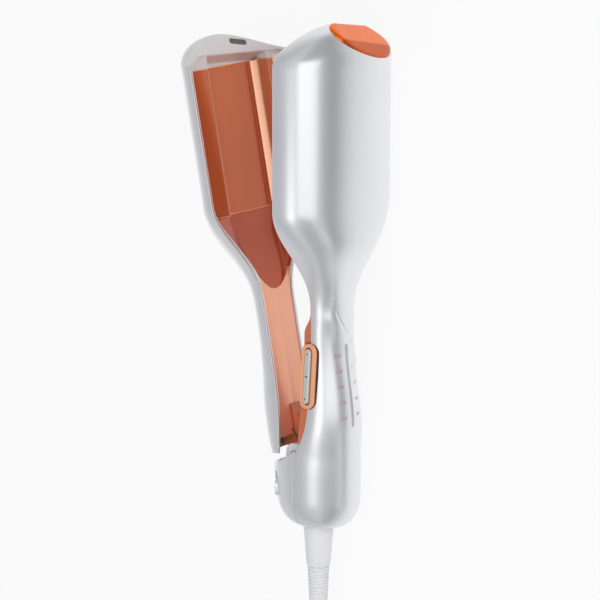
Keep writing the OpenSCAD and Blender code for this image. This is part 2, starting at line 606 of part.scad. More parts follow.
// Place in the coil after a number of turns: the spiral winds in and out again, a layer higher
// each time, and climbs in the half turn where it reverses
function fold(t) = let(m = t % (2 * coil_turns)) m <= coil_turns ? m : 2 * coil_turns - m;
function coil_layer(t) = let(n = t / coil_turns, k = round(n), near = (t - k * coil_turns) * 2)
    k == 0 || k == coil_layers ? floor(min(n, coil_layers - 0.001)) : k - 1 + ease(near / 1 + 0.5);
function coil_point(t) = let(r = coil_r - coil_pitch * fold(t), a = -90 - 360 * t)
    [coil_middle[0] + r * cos(a), coil_middle[1] + r * sin(a), cord_d / 2 + coil_pitch * coil_layer(t)];
coil_turn_points = [for (i = [1:coil_rings * coil_loops - 1]) coil_point(i / coil_rings)];
coil_finish = coil_point(coil_loops - 0.0001);
coil_path = concat([coil_start + [cord_d, 0, 0], coil_start], coil_turn_points,
    [[coil_middle[0], coil_start[1], coil_finish[2]], [coil_middle[0] - cord_d, coil_start[1], coil_finish[2]]]);

// Points of a smooth curve through a route, a few between each two
function route_slope(p, i) = (p[min(i + 1, len(p) - 1)] - p[max(i - 1, 0)]) / (i == 0 || i == len(p) - 1 ? 1 : 2);
function smooth(p, n) = concat([for (i = [0:len(p) - 2], j = [0:n - 1]) let(t = j / n, e = t * t * (3 - 2 * t))
    mix(p[i], p[i + 1], e) + t * (1 - t) * ((1 - t) * (route_slope(p, i) - (p[i + 1] - p[i]) * 0) - t * route_slope(p, i + 1))], [p[len(p) - 1]]);
lead_path = concat([boot_end, boot_end + boot_dir * cord_d], lead_route, [coil_start + [cord_d, 0, 0]]);
tail_path = concat([coil_path[len(coil_path) - 1]], tail_route, [plug_entry]);
function path_length(p, i = 0) = i > len(p) - 2 ? 0 : norm(p[i + 1] - p[i]) + path_length(p, i + 1);
module cord_lead() {
    color(cord_grey) tube(smooth(lead_path, 2), cord_d / 2, 8);
}
module cord_coil() {
    color(cord_grey) tube(coil_path, cord_d / 2);
}
module cord_tail() {
    color(cord_grey) tube(smooth(tail_path, 3), cord_d / 2, 8);
}
// Least gap between points of the coil that lie more than half a turn apart
gap_step = 3;
coil_gap = min([for (i = [0:gap_step:len(coil_path) - 1], j = [i + 12:gap_step / 3:len(coil_path) - 1])
    norm(coil_path[i] - coil_path[j])]) - cord_d;
echo(coil_gap = coil_gap, lead = path_length(smooth(lead_path, 2)), coil = path_length(coil_path),
    tail = path_length(smooth(tail_path, 3)), tilt = tilt, origin = origin, boot_end = boot_end);

// Flat two-pin plug lying on the table, its pins along +y
pin_gap = 18.6;
module at_plug() {
    translate(plug_entry) rotate([0, 0, 90]) children();
}
module plug_body() {
    color(cord_grey) at_plug() union() {
        translate([10, 0, -7]) linear_extrude(14) polygon([[0, -8], [4, -10.5], [10, -15.4], [14, -17.5],
            [26, -17.5], [26, 17.5], [14, 17.5], [10, 15.4], [4, 10.5], [0, 8]]);
        rotate([0, 90, 0]) cylinder(r1 = 4.2, r2 = 6.2, h = 11);
    }
}
module plug_pins() {
    color("#c9a24a") at_plug() for (s = [-1, 1]) translate([36.05, s * pin_gap / 2, 0]) rotate([0, 90, 0])
        cylinder(r = 2, h = 19);
}

front_shell();
rear_shell();
front_liner();
barrel_plate();
barrel_heater();
barrel_insulator();
barrel_thermistor();
barrel_fuse();
front_tip_cap();
tip_lens();
button_bezel();
rocker_button();
rocker_pin();
button_switches();
control_board();
power_parts();
light_strip();
scale_lights();
lead_wires();
hinge_bracket();
hinge_pin();
hinge_washers();
hinge_spring();
lock_slider();
swivel_housing();
swivel_contacts();
strain_relief();
case_screws();
arm_shell();
arm_liner();
channel_plate();
channel_heater();
channel_insulator();
channel_thermistor();
arm_tip_cap();
hinge_knuckle();
arm_wires();
arm_screws();
cord_lead();
cord_coil();
cord_tail();
plug_body();
plug_pins();
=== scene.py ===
import json
import math

import bpy
import numpy as np
from mathutils import Matrix


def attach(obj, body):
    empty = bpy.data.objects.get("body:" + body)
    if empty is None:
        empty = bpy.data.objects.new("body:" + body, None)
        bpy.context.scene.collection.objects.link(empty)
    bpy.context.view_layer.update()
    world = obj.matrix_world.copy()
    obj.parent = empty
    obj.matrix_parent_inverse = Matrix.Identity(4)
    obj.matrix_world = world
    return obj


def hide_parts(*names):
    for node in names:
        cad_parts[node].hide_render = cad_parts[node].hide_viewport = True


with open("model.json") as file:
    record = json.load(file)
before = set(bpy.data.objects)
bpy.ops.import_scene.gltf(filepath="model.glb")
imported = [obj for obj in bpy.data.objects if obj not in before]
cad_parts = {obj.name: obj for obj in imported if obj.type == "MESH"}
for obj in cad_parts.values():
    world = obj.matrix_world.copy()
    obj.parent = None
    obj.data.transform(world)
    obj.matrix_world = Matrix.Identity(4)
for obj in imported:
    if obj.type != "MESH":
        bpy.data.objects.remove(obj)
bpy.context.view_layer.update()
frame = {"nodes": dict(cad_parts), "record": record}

# Device axes, in millimetres: x from the bottom of the handle to the tips, y from the front
# face towards the arm, z along the hinge pin towards the button's side.
TILT = math.radians(6.69009)  # how far the waver tips about y, as it lies on the table
ORIGIN = np.array([116.194, 26.5446, -20.309])  # the table's origin in the tipped axes
HINGE = (44.0, 6.0)  # x and y of the hinge pin
OPEN = math.radians(12.2)  # the arm's opening in the photograph


def turn(v):
    """Tip a direction by the tilt about the y axis: x' = x cos - z sin, z' = x sin + z cos."""
    v = np.asarray(v, float)
    c, s = math.cos(TILT), math.sin(TILT)
    return np.stack([v[..., 0] * c - v[..., 2] * s, v[..., 1], v[..., 0] * s + v[..., 2] * c], -1)


def lay(p, arm=False):
    """Device millimetres to metres on the table. A point of the arm first turns by the opening
    angle about the hinge pin; then all tip by the tilt and shift by the origin."""
    p = np.asarray(p, float)
    if arm:
        c, s = math.cos(OPEN), math.sin(OPEN)
        dx, dy = p[..., 0] - HINGE[0], p[..., 1] - HINGE[1]
        p = np.stack([HINGE[0] + dx * c - dy * s, HINGE[1] + dx * s + dy * c, p[..., 2]], -1)
    return (turn(p) - ORIGIN) / 1000


def add(name, data):
    """A new object in the scene."""
    obj = bpy.data.objects.new(name, data)
    bpy.context.scene.collection.objects.link(obj)
    return obj


def stand(x, y, z, at):
    """The matrix of an object whose axes are x, y and z and whose place is at."""
    m = np.eye(4)
    m[:3] = np.column_stack([x, y, z, at])
    return Matrix(m.tolist())


# ---- camera ----
SIDE, RISE, ROLL = math.radians(46.98), math.radians(14.72), math.radians(0.15)
AIM_X, AIM_RIGHT, REACH = 136.0, -11.42, 1631.5  # mm
SENSOR, FOCAL_PIXELS, PICTURE_PIXELS = 36.0, 2806.1, 600


def place_camera():
    """Camera at the photograph's angle: 47 degrees round from the front face towards the button's
    side and 14.7 degrees towards the tips, 1.63 m away, with the tips at the top."""
    back = np.array([math.sin(RISE), -math.cos(RISE) * math.cos(SIDE),
                     math.cos(RISE) * math.sin(SIDE)])
    right = np.array([0, -math.sin(SIDE), -math.cos(SIDE)])
    up = np.cross(back, right)
    c, s = math.cos(ROLL), math.sin(ROLL)
    right, up = c * right + s * up, c * up - s * right
    spot = np.array([AIM_X, 0, 0]) + AIM_RIGHT * right + REACH * back
    data = bpy.data.cameras.new("camera")
    data.sensor_width, data.lens = SENSOR, FOCAL_PIXELS / PICTURE_PIXELS * SENSOR
    data.clip_start, data.clip_end = 0.1, 20
    camera = add("camera", data)
    camera.matrix_world = stand(turn(right), turn(up), turn(back), lay(spot))
    bpy.context.scene.camera = camera


place_camera()


# ---- materials ----
def srgb(text):
    """Hex colour to linear values."""
    v = np.array([int(text[i:i + 2], 16) for i in (0, 2, 4)]) / 255
    return np.where(v <= 0.04045, v / 12.92, ((v + 0.055) / 1.055) ** 2.4)


def put(n, **sockets):
    """Fill a node's sockets, named with _ for a space: another node's socket is linked, and any
    other value is written."""
    for name, v in sockets.items():
        target = n.inputs[name.replace("_", " ")]
        if isinstance(v, bpy.types.NodeSocket):
            n.id_data.links.new(v, target)
        else:
            target.default_value = v


def node(tree, kind, **values):
    """A shader node: values with a capital go to its sockets and the others to its settings."""
    n = tree.nodes.new(kind)
    for name, v in values.items():
        if name[0].islower():
            setattr(n, name, v)
    put(n, **{name: v for name, v in values.items() if name[0].isupper()})
    return n


NOISE_LOW, NOISE_HIGH = 0.3, 0.7  # the part of a noise's range that the finishes use


def finish(name, colour, rough, metal=0.0, coat=(0.0, 0.1), shade=(0.05, 80), fleck=(0.04, 1500),
           bump=0.0, rough_range=0.02, **sockets):
    """A moulded, painted or metal finish. shade and fleck are each a strength and a scale: broad
    noise varies the colour by shade and the roughness by rough_range, and fine noise varies the
    colour by fleck and raises a bump in millimetres. coat is a weight and a roughness."""
    m = bpy.data.materials.new(name)
    m.use_nodes = True
    t = m.node_tree
    place = node(t, "ShaderNodeTexCoord").outputs["Object"]
    broad = node(t, "ShaderNodeTexNoise", Vector=place, Scale=shade[1], Detail=3).outputs["Fac"]
    fine = node(t, "ShaderNodeTexNoise", Vector=place, Scale=fleck[1], Detail=2).outputs["Fac"]
    ramp = node(t, "ShaderNodeValToRGB", Fac=broad)
    ends = zip(ramp.color_ramp.elements, (NOISE_LOW, NOISE_HIGH), (1 - shade[0], 1 + shade[0]))
    for end, at, tone in ends:
        end.position, end.color = at, (*np.minimum(srgb(colour) * tone, 1), 1)
    grey = node(t, "ShaderNodeMapRange", Value=fine, From_Min=NOISE_LOW, From_Max=NOISE_HIGH,
                To_Min=1 - fleck[0], To_Max=1 + fleck[0])
    tinted = node(t, "ShaderNodeVectorMath", operation="MULTIPLY")
    t.links.new(ramp.outputs["Color"], tinted.inputs[0])
    t.links.new(grey.outputs["Result"], tinted.inputs[1])
    varied = node(t, "ShaderNodeMapRange", Value=broad, To_Min=rough - rough_range,
                  To_Max=rough + rough_range)
    shader = t.nodes["Principled BSDF"]
    put(shader, Base_Color=tinted.outputs["Vector"], Roughness=varied.outputs["Result"],
        Metallic=metal, Coat_Weight=coat[0], Coat_Roughness=coat[1], **sockets)
    if bump:
        raised = node(t, "ShaderNodeBump", Strength=1.0, Distance=bump / 1000, Height=fine)
        put(shader, Normal=raised.outputs["Normal"])
    return m


SILVER = finish("satin_silver_paint", "eeeff2", 0.3, metal=0.7, coat=(0.25, 0.1),
                shade=(0.012, 22), fleck=(0.012, 2600), rough_range=0.015)
ORANGE = finish("glossy_orange_moulding", "d9744a", 0.3, coat=(0.4, 0.08), shade=(0.03, 50),
                fleck=(0.02, 1500), bump=0.004)
BEZEL = finish("glossy_peach_bezel", "ffb080", 0.2, coat=(0.5, 0.06), shade=(0.02, 60),
               fleck=(0.02, 1500), bump=0.002)
PEACH = finish("satin_coral_liner", "f9b697", 0.3, metal=0.55, coat=(0.3, 0.12),
               shade=(0.03, 30), fleck=(0.015, 1500))
PLATE = finish("ceramic_orange_plate", "d67345", 0.2, metal=0.32, coat=(0.3, 0.05),
               shade=(0.02, 45), fleck=(0.015, 3000), IOR=1.35)
# darker orange for the arm liner's channel: painted shade
LINER_SHADE = finish("liner_painted_shade", "c65c38", 0.3, metal=0.3, coat=(0.3, 0.1),
                shade=(0.04, 30), fleck=(0.015, 1500))
LENS = finish("orange_lens", "ff7626", 0.14, metal=0.6, shade=(0.04, 35), fleck=(0, 1200),
              IOR=1.3)
# darker orange for the lens' facet past its crease: painted shade
LENS_SHADE = finish("orange_lens_painted_shade", "d65f26", 0.16, metal=0.5, shade=(0.04, 35),
                   fleck=(0, 1200), IOR=1.3)
LENS_SEAM = finish("brown_seam", "8a4426", 0.5, fleck=(0.03, 1500))
# lighter salmon for the plate's bends and edge beads: a painted highlight
PAINTED_HIGHLIGHT = finish("salmon_painted_highlight", "f2b798", 0.2, metal=0.9, coat=(0.2, 0.05),
              shade=(0.02, 60), fleck=(0, 1500))
CAP = finish("pale_grey_moulding", "efefef", 0.31, metal=0.1, coat=(0.25, 0.08),
             shade=(0.015, 60), fleck=(0.01, 1500))
ROCKER = finish("satin_grey_key", "dcdad6", 0.33, metal=0.35, coat=(0.2, 0.15),
                shade=(0.03, 80), fleck=(0.03, 2500), bump=0.003)
# dark brown: painted shade in seams and the rocker's well, and the rocker's printed marks
SHADE_AND_PRINT = finish("painted_shade_and_print", "3a2a24", 0.6, shade=(0.1, 80), fleck=(0.05, 1500))
SLOT = finish("light_slot", "cfcfd2", 0.22, coat=(0.6, 0.05), shade=(0.03, 80),
              fleck=(0.02, 1500))
# dark grey at the cap's slot floor: painted shade
SLOT_SHADE = finish("slot_painted_shade", "6e6e70", 0.5)
PRINT_RED = finish("red_print", "c98a90", 0.45, shade=(0.05, 300), fleck=(0.04, 3000))
PRINT_GREY = finish("grey_print", "cdc6c7", 0.45, shade=(0.05, 300), fleck=(0.04, 3000))
RUBBER = finish("pale_cord_rubber", "fafafb", 0.4, coat=(0.3, 0.3), shade=(0.02, 40),
                fleck=(0.02, 1800), bump=0.008, Subsurface_Weight=0.05)
SPRING = finish("dark_spring_steel", "4a4644", 0.4, metal=0.8, shade=(0.05, 200),
                fleck=(0.04, 3000))
STEEL = finish("bright_steel", "b9b9bb", 0.31, metal=1.0, shade=(0.04, 300),
               fleck=(0.05, 4000), bump=0.004)
BRASS = finish("bright_pins", "d0b070", 0.22, metal=1.0, shade=(0.04, 300),
               fleck=(0.04, 3000), bump=0.002)
DARK = finish("dark_housing", "2c2c2e", 0.5, shade=(0.08, 120), fleck=(0.06, 1500), bump=0.01)
BOARD = finish("green_board", "1f5a3c", 0.35, coat=(0.3, 0.1), shade=(0.08, 200),
               fleck=(0.05, 1500), bump=0.004)
CERAMIC = finish("white_ceramic", "e6e2da", 0.6, shade=(0.04, 120), bump=0.006)
MICA = finish("mica_board", "b3a983", 0.55, coat=(0.1, 0.2), shade=(0.1, 200),
              fleck=(0.06, 1500), bump=0.01)
WIRE = finish("red_wire", "a53a34", 0.45, coat=(0.1, 0.2), shade=(0.04, 120))

BY_SLOT = {"silver_shell": SILVER, "orange_plastic": ORANGE, "peach_plastic": PEACH,
           "heating_plate": PLATE, "ceramic": CERAMIC, "insulator": MICA, "dark_plastic": DARK,
           "grey_plastic": CAP, "brass": BRASS, "steel": STEEL, "washer": MICA, "board": BOARD,
           "light": SLOT, "wire": WIRE, "cord": RUBBER}
for entry in frame["record"]["subparts"]:
    materials = frame["nodes"][entry["node"]].data.materials
    materials.clear()
    spring = entry["node"] == "hinge_spring"
    materials.append(SPRING if spring else BY_SLOT[entry["material_slot"]])


# ---- mesh helpers ----
def surface(name, points, faces):
    """A mesh of points in metres and their faces."""
    mesh = bpy.data.meshes.new(name)
    mesh.from_pydata(points.tolist(), [], [list(f) for f in faces])
    return mesh


def face_outwards(mesh):
    """Turn the faces of a closed mesh outwards, by the sign of its volume: the sum over its
    triangles of a . (b x c)."""
    mesh.calc_loop_triangles()
    co = np.zeros(len(mesh.vertices) * 3)
    mesh.vertices.foreach_get("co", co)
    tri = np.zeros(len(mesh.loop_triangles) * 3, np.int32)
    mesh.loop_triangles.foreach_get("vertices", tri)
    a, b, c = np.moveaxis(co.reshape(-1, 3)[tri.reshape(-1, 3)], 1, 0)
    if np.einsum("ij,ij->i", a, np.cross(b, c)).sum() < 0:
        mesh.flip_normals()
        mesh.update()


def settle(obj, body, replaces=(), angle=32):
    """Turn a piece's faces outwards, keep edges sharper than the angle, attach it to what it rides
    on and hide the CAD nodes it replaces."""
    mesh = obj.data
    face_outwards(mesh)
    mesh.polygons.foreach_set("use_smooth", np.ones(len(mesh.polygons), bool))
    mesh.set_sharp_from_angle(angle=math.radians(angle))
    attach(obj, body)
    if replaces:
        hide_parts(*replaces)
    return obj


def make(name, points, faces, material, body, slot, replaces=(), arm=False, angle=32, raw=False):
    """A piece from points in device millimetres, laid on the table, or with raw from points that
    are already in metres on it."""
    mesh = surface(name, np.asarray(points, float) if raw else lay(points, arm), faces)
    mesh.validate()
    mesh.materials.append(material)
    return settle(add(name, mesh), body, replaces, angle)


def cut(obj, points, faces, arm=False):
    """Take a closed solid, in device millimetres, away from obj."""
    mesh = surface("cutter", lay(points, arm), faces)
    face_outwards(mesh)
    tool = add("cutter", mesh)
    mod = obj.modifiers.new("cut", "BOOLEAN")
    mod.object, mod.operation, mod.solver = tool, "DIFFERENCE", "MANIFOLD"
    bpy.context.view_layer.objects.active = obj
    bpy.ops.object.modifier_apply(modifier=mod.name)
    bpy.data.objects.remove(tool)


def second_finish(obj, rows, n, columns):
    """Give a piece's second finish to the faces of these columns, in these rows of rings of n
    points."""
    index = np.zeros(len(obj.data.polygons), np.int32)
    obj.data.polygons.foreach_get("material_index", index)
    at = np.asarray(rows)[:, None] * n + np.asarray(columns)[None, :]
    index[at.ravel()] = 1
    obj.data.polygons.foreach_set("material_index", index)


def ring_faces(rows, n):
    """Quads between neighbouring closed rings of n points."""
    i = (np.arange(rows - 1) * n)[:, None]
    j = np.arange(n)[None, :]
    k = (j + 1) % n
    return np.stack([i + j, i + k, i + n + k, i + n + j], -1).reshape(-1, 4).tolist()


def loft(rings):
    """Points and faces of a skin over closed rings, with a flat face at each end."""
    rows, n = rings.shape[:2]
    ends = [list(range(n))[::-1], [(rows - 1) * n + j for j in range(n)]]
    return rings.reshape(-1, 3), ring_faces(rows, n) + ends


def set_in(place, rings):
    """Points and faces of a skin over rings that are given in a place's own frame."""
    points, faces = loft(rings)
    return place(points), faces


def sections(x, y, z):
    """Outlines of y and z carried to the places x."""
    return np.stack(np.broadcast_arrays(np.asarray(x, float)[:, None], y, z), -1)


def unit(v):
    """v over its own length."""
    return v / np.maximum(np.linalg.norm(v, axis=-1, keepdims=True), 1e-12)


def normals(outer):
    """Outward normals of a surface outer[t, a]: the cross product of its two directions, turned
    away from the middles of its rows."""
    n = unit(np.cross(np.gradient(outer, axis=0), np.gradient(outer, axis=1)))
    return n * np.sign((n * (outer - outer.mean(axis=1, keepdims=True))).sum())


WALL, LIP = 2.0, 0.45  # the shells' thickness, and how far their rims round out


def thick(outer, steps=5, ease_end=0.0):
    """A wall under an open surface outer[t, a]: the inner side lies a wall's thickness along the
    normals, and half round lips join the long edges. ease_end draws the first and last rows in to
    a small chamfer."""
    outer = outer.copy()
    n = normals(outer)
    e0, e1 = unit(outer[:, 0] - outer[:, 1]), unit(outer[:, -1] - outer[:, -2])
    outer[:, 0] -= LIP * e0
    outer[:, -1] -= LIP * e1
    inner = outer - WALL * n
    outer[-1] -= ease_end * n[-1]
    outer[0] -= ease_end * n[0]
    a = np.linspace(0, np.pi, steps + 2)[1:-1][None, :, None]
    across, out = WALL / 2 * (1 - np.cos(a)), LIP * np.sin(a)
    lip1 = outer[:, -1:] - n[:, -1:] * across + e1[:, None] * out
    lip0 = inner[:, :1] + n[:, :1] * across + e0[:, None] * out
    rings = np.concatenate([outer, lip1, inner[:, ::-1], lip0], axis=1)
    rows, m, k = rings.shape[0], rings.shape[1], outer.shape[1]
    faces = ring_faces(rows, m)
    for base, flip in ((0, True), ((rows - 1) * m, False)):
        far = base + 2 * k + steps - 1
        strips = [[base + j, base + j + 1, far - 1 - j, far - j] for j in range(k - 1)]
        strips.append([base + k - 1 + j for j in range(steps + 2)])
        strips.append([far + j for j in range(steps + 1)] + [base])
        faces += [f[::-1] if flip else f for f in strips]
    return rings.reshape(-1, 3), faces


def rounded(corners, radii, steps=4):
    """Closed outlines corners[t, m] with each corner m turned into a curve: a quadratic between
    points a radius along the two sides, kept under 0.45 of each side."""
    r = np.broadcast_to(np.asarray(radii, float), corners.shape[:2])[..., None]
    starts_ends = []
    for shift in (1, -1):
        side = np.roll(corners, shift, axis=1) - corners
        length = np.linalg.norm(side, axis=-1, keepdims=True)
        along = side / np.maximum(length, 1e-9) * np.minimum(r, 0.45 * length)
        starts_ends.append((corners + along)[:, :, None])
    start, end = starts_ends
    t = np.linspace(0, 1, steps + 1)[None, None, :, None]
    curve = (1 - t) ** 2 * start + 2 * t * (1 - t) * corners[:, :, None] + t ** 2 * end
    return curve.reshape(corners.shape[0], -1, 3)


def spow(v, p):
    """The power p of v's size, with v's sign."""
    return np.sign(v) * np.abs(v) ** p


def track(length, width, inset=0.0, steps=14):
    """Racetrack outline: two half circles of the width joined by straight sides, as (x, y)."""
    r, h = width / 2 - inset, (length - width) / 2
    a = np.linspace(-np.pi / 2, np.pi / 2, steps)
    right = np.stack([h + r * np.cos(a), r * np.sin(a)], -1)
    return np.concatenate([right, -right])


def track_rings(length, width, profile):
    """A profile of (inset, height) pairs carried round a racetrack."""
    return np.stack([np.insert(track(length, width, d), 2, h, axis=1) for d, h in profile])


def prism(outline, y0, y1):
    """Points and faces of an outline of x and z carried from y0 to y1."""
    return loft(np.stack([np.insert(np.asarray(outline, float), 1, y, axis=1) for y in (y0, y1)]))


def revolve(profile, steps=40):
    """A profile of (x, radius) pairs turned round the x axis."""
    a = np.linspace(0, 2 * np.pi, steps, endpoint=False)
    x, r = np.asarray(profile, float).T
    return sections(x, r[:, None] * np.cos(a), r[:, None] * np.sin(a))


# ---- the waver's form: half widths across z and levels along y, in millimetres ----
NECK_W, GRIP_W, JAW_W = 15.7, 22.2, 43.4
NECK_FRONT, GRIP_FRONT, JAW_FRONT = 20.1, 26.8, 31.7
NECK_RIM, RIM = 7.4, 2.9
BOTTOM_BACK, GRIP_BACK = 26.5, 29.5
ARM_NECK_W, ARM_TAIL_W, ARM_JAW_W = 13.8, 19.5, 42.85
ARM_RIM, ARM_BEND, ARM_END = 13.5, 2.3, 278.0
JAW_END, JAW_BEND, DOME, MIDDLE = 283.0, 2.4, 18.0, 18.0
# Depth of the arm's shell at places along it
DEPTH_AT = np.array([45, 52, 62, 76, 95, 112, 130, 146, 158, 168, 178, 190, 205, 280.0])
DEPTH = np.array([13, 16.6, 19, 19.6, 16.8, 14.8, 14.3, 16, 19.8, 23.6, 24.6, 23.2, 22.4, 22.4])


def ease(t):
    """0 to 1 with level ends: 3 t^2 - 2 t^3."""
    c = np.clip(t, 0, 1)
    return c * c * (3 - 2 * c)


def mix(a, b, t):
    """The value a share t of the way from a to b."""
    return a + (b - a) * t


def rise(x, start, length, power=1.0):
    """0 to 1 over a length from start, eased after the share of the way is put to a power."""
    return ease(np.clip((x - start) / length, 0, 1) ** power)


def bottom_round(x):
    """How far the bottom of the handle has rounded out, 0.45 at the swivel and 1 from 20 mm:
    0.45 + 0.55 (1 - (1 - x/20)^2.2)^(1/2.2)."""
    left = np.clip((20 - x) / 20, 0, 1)
    return np.where(x >= 20, 1, 0.45 + 0.55 * np.maximum(1 - left ** 2.2, 0) ** (1 / 2.2))


def body_w(x):
    """Half width of the front body: the neck's, rising to the jaw's one way and the grip's the
    other."""
    jaw = mix(NECK_W, JAW_W, rise(x, 134, 62, 1.15))
    grip = mix(NECK_W, GRIP_W, rise(x, 113, -78, 1.1))
    return bottom_round(x) * np.where(x > 134, jaw, grip)


def body_rim(x):
    """Level of the front body's rim: from 0 at the hinge by a power curve to the neck's, then
    eased down to the jaw's."""
    low = NECK_RIM * (1 - (1 - np.clip((x - 47) / 28, 0, 1)) ** 2.5)
    return np.where(x < 134, low, mix(NECK_RIM, RIM, rise(x, 134, 52)))


def body_front(x):
    """Level of the front face: the neck's, rising to the jaw's one way and the grip's the
    other."""
    jaw = mix(NECK_FRONT, JAW_FRONT, rise(x, 130, 48, 1.3))
    grip = mix(NECK_FRONT, GRIP_FRONT, rise(x, 122, -60))
    return bottom_round(x) * np.where(x > 128, jaw, grip)


def body_bend(x):
    """Power of the front's superellipse: 2 at the grip, eased to 2.4 at the jaw."""
    return 2 + 0.4 * rise(x, 60, 110)


def body_back(x):
    """Level of the handle's back, eased out behind its rounded bottom."""
    return bottom_round(x) * mix(BOTTOM_BACK, GRIP_BACK, rise(x, 8, 26))


def arm_w(x):
    """Half width of the arm: the neck's, eased to the jaw's, or to the tail's by a power."""
    jaw = mix(ARM_NECK_W, ARM_JAW_W, rise(x, 136, 60, 1.15))
    tail = mix(ARM_NECK_W, ARM_TAIL_W, np.clip((100 - x) / 50, 0, None) ** 2.5)
    return np.where(x > 100, jaw, tail)


def arm_depth(x):
    """Cubic curve through the keys with the slope of each key's neighbours, level at the ends."""
    slope = np.zeros(len(DEPTH))
    slope[1:-1] = (DEPTH[2:] - DEPTH[:-2]) / (DEPTH_AT[2:] - DEPTH_AT[:-2])
    i = np.clip(np.searchsorted(DEPTH_AT, x) - 1, 0, len(DEPTH) - 2)
    h = DEPTH_AT[i + 1] - DEPTH_AT[i]
    t = np.clip((x - DEPTH_AT[i]) / h, 0, 1)
    lean = h * t * (1 - t) * ((1 - t) * slope[i] - t * slope[i + 1])
    return mix(DEPTH[i], DEPTH[i + 1], ease(t)) + lean


def half(x, w, rim, depth, bend, side, a):
    """Half superellipses: y = side (rim + depth sin(a)^(2/bend)), z = side w cos(a)^(2/bend)."""
    w, rim, depth, bend = (np.broadcast_to(v, np.shape(x)).astype(float)[:, None]
                           for v in (w, rim, depth, bend))
    return sections(x, side * (rim + depth * spow(np.sin(a), 2 / bend)),
                    side * w * spow(np.cos(a), 2 / bend))


ARC = np.linspace(0, np.pi, 97)
LENS_N, LENS_AT = np.array([1, -0.81, -0.33]), 310.0  # the lens' plane: x - 0.81 y - 0.33 z = 310


def dome_path(q):
    """The place x and the scale k of a section: straight from 262 to 278.5 mm, a quadratic curve
    round the corner, then x = 283 + 18 (1 - k^2.2) up to the dome's highest point."""
    u, d = np.clip((q - 0.4) / 0.2, 0, 1), 0.88 * (1 - np.clip((q - 0.6) / 0.4, 0, 1))
    bend = (1 - u) ** 2 * 278.5 + 2 * u * (1 - u) * 283.3 + u ** 2 * 287.41
    dome = np.where(q < 0.6, bend, JAW_END + DOME * (1 - d ** 2.2))
    x = np.where(q < 0.4, mix(262.0, 278.5, q / 0.4), dome)
    return x, np.where(q < 0.6, 1 - 0.12 * u ** 2, d)


def front_end(q, a):
    """The front jaw's end as a surface of q and a: the jaw's section, half a superellipse, scaled
    about a level of 18 mm by the dome's path."""
    x, k = dome_path(np.broadcast_to(q, np.broadcast(q, a).shape))
    depth = body_front(JAW_END) - RIM
    y = -(RIM + depth * spow(np.sin(a), 2 / JAW_BEND))
    z = -body_w(JAW_END) * spow(np.cos(a), 2 / JAW_BEND)
    return np.stack([x, -MIDDLE + (y + MIDDLE) * k, z * k], -1)


def lens_edge(a):
    """For each a, the q at which the surface meets the lens' plane: the first of 600 steps past
    it, closed in on by halving."""
    q = np.linspace(0, 1, 600)[:, None]
    over = front_end(q, a[None, :]) @ LENS_N > LENS_AT
    i = np.argmax(over, axis=0)
    lo, hi = q[i - 1, 0], q[i, 0]
    for _ in range(18):
        m = (lo + hi) / 2
        past = front_end(m[None, :], a[None, :])[0] @ LENS_N > LENS_AT
        lo, hi = np.where(past, lo, m), np.where(past, m, hi)
    return (lo + hi) / 2


def neck_crease(p):
    """A step in the neck with a fine groove along it, on a line that runs from the crown down to
    the far side: the side towards the button is 0.6 mm higher, fading away from the line, and the
    groove is 0.6 mm deep with the section of a bell curve."""
    x, v = p[..., 0], -p[..., 2]
    d = v - 2.7 - 0.66 * (118 - x)
    step = 0.6 * (1 - rise(d, -0.3, 0.6)) * rise(d, -14, 12)
    groove = 0.6 * np.exp(-(d / 0.55) ** 2)
    return (step - groove) * rise(x, 136, -9) * rise(x, 94, 8)


def crown(x, v, out=0.0):
    """The point of the front face at x and v across it, raised by out:
    y = -(rim + depth (1 - |v/w|^n)^(1/n)), z = -v."""
    n, w, rim = body_bend(x), body_w(x) + out, body_rim(x)
    depth = body_front(x) - rim + out
    y = -(rim + depth * np.maximum(1 - np.abs(v / w) ** n, 0) ** (1 / n))
    return np.stack([x, y, -v], -1)


def spin(u, v, degrees):
    """u and v turned by an angle, from u towards v."""
    c, s = math.cos(math.radians(degrees)), math.sin(math.radians(degrees))
    return u * c - v * s, u * s + v * c


BUTTON_AT, BUTTON_TURN = np.array([94.6, -7.4, 12.7]), 4
LOCK_AT, LOCK_TURN = np.array([21.5, 17.2, 15.4]), -49


def at_button(p):
    """Button frame to device: turn by 4 degrees about y and move to the side of the neck."""
    z, x = spin(p[..., 2], p[..., 0], BUTTON_TURN)
    return BUTTON_AT + np.stack([x, p[..., 1], z], -1)


def at_lock(p):
    """Slider frame to device: turn by -49 degrees about x and move to the back of the handle."""
    y, z = spin(p[..., 1], p[..., 2], LOCK_TURN)
    return LOCK_AT + np.stack([p[..., 0], y, z], -1)


# ---- front body ----
X_BOTTOM = [0, 0.3, 0.8, 1.6, 2.8, 4.2, 6, 8, 10, 12.5, 15, 17.5]
X_BODY = np.concatenate([X_BOTTOM, np.arange(20, 90, 2.4), np.arange(90, 132, 0.8),
                         np.arange(132, 260, 2.4)])
X_LINER = np.concatenate([np.arange(54, 118, 3.0), np.arange(118, 190, 1.5),
                          np.arange(190, 281, 6.0), [282.0]])
LENS_Q = lens_edge(ARC)
SLOT_MIDDLE = 89.0
LIGHT_SLOT = track(49.0, 2.3) + [SLOT_MIDDLE, 0.1]  # x and v of the scale's light slot


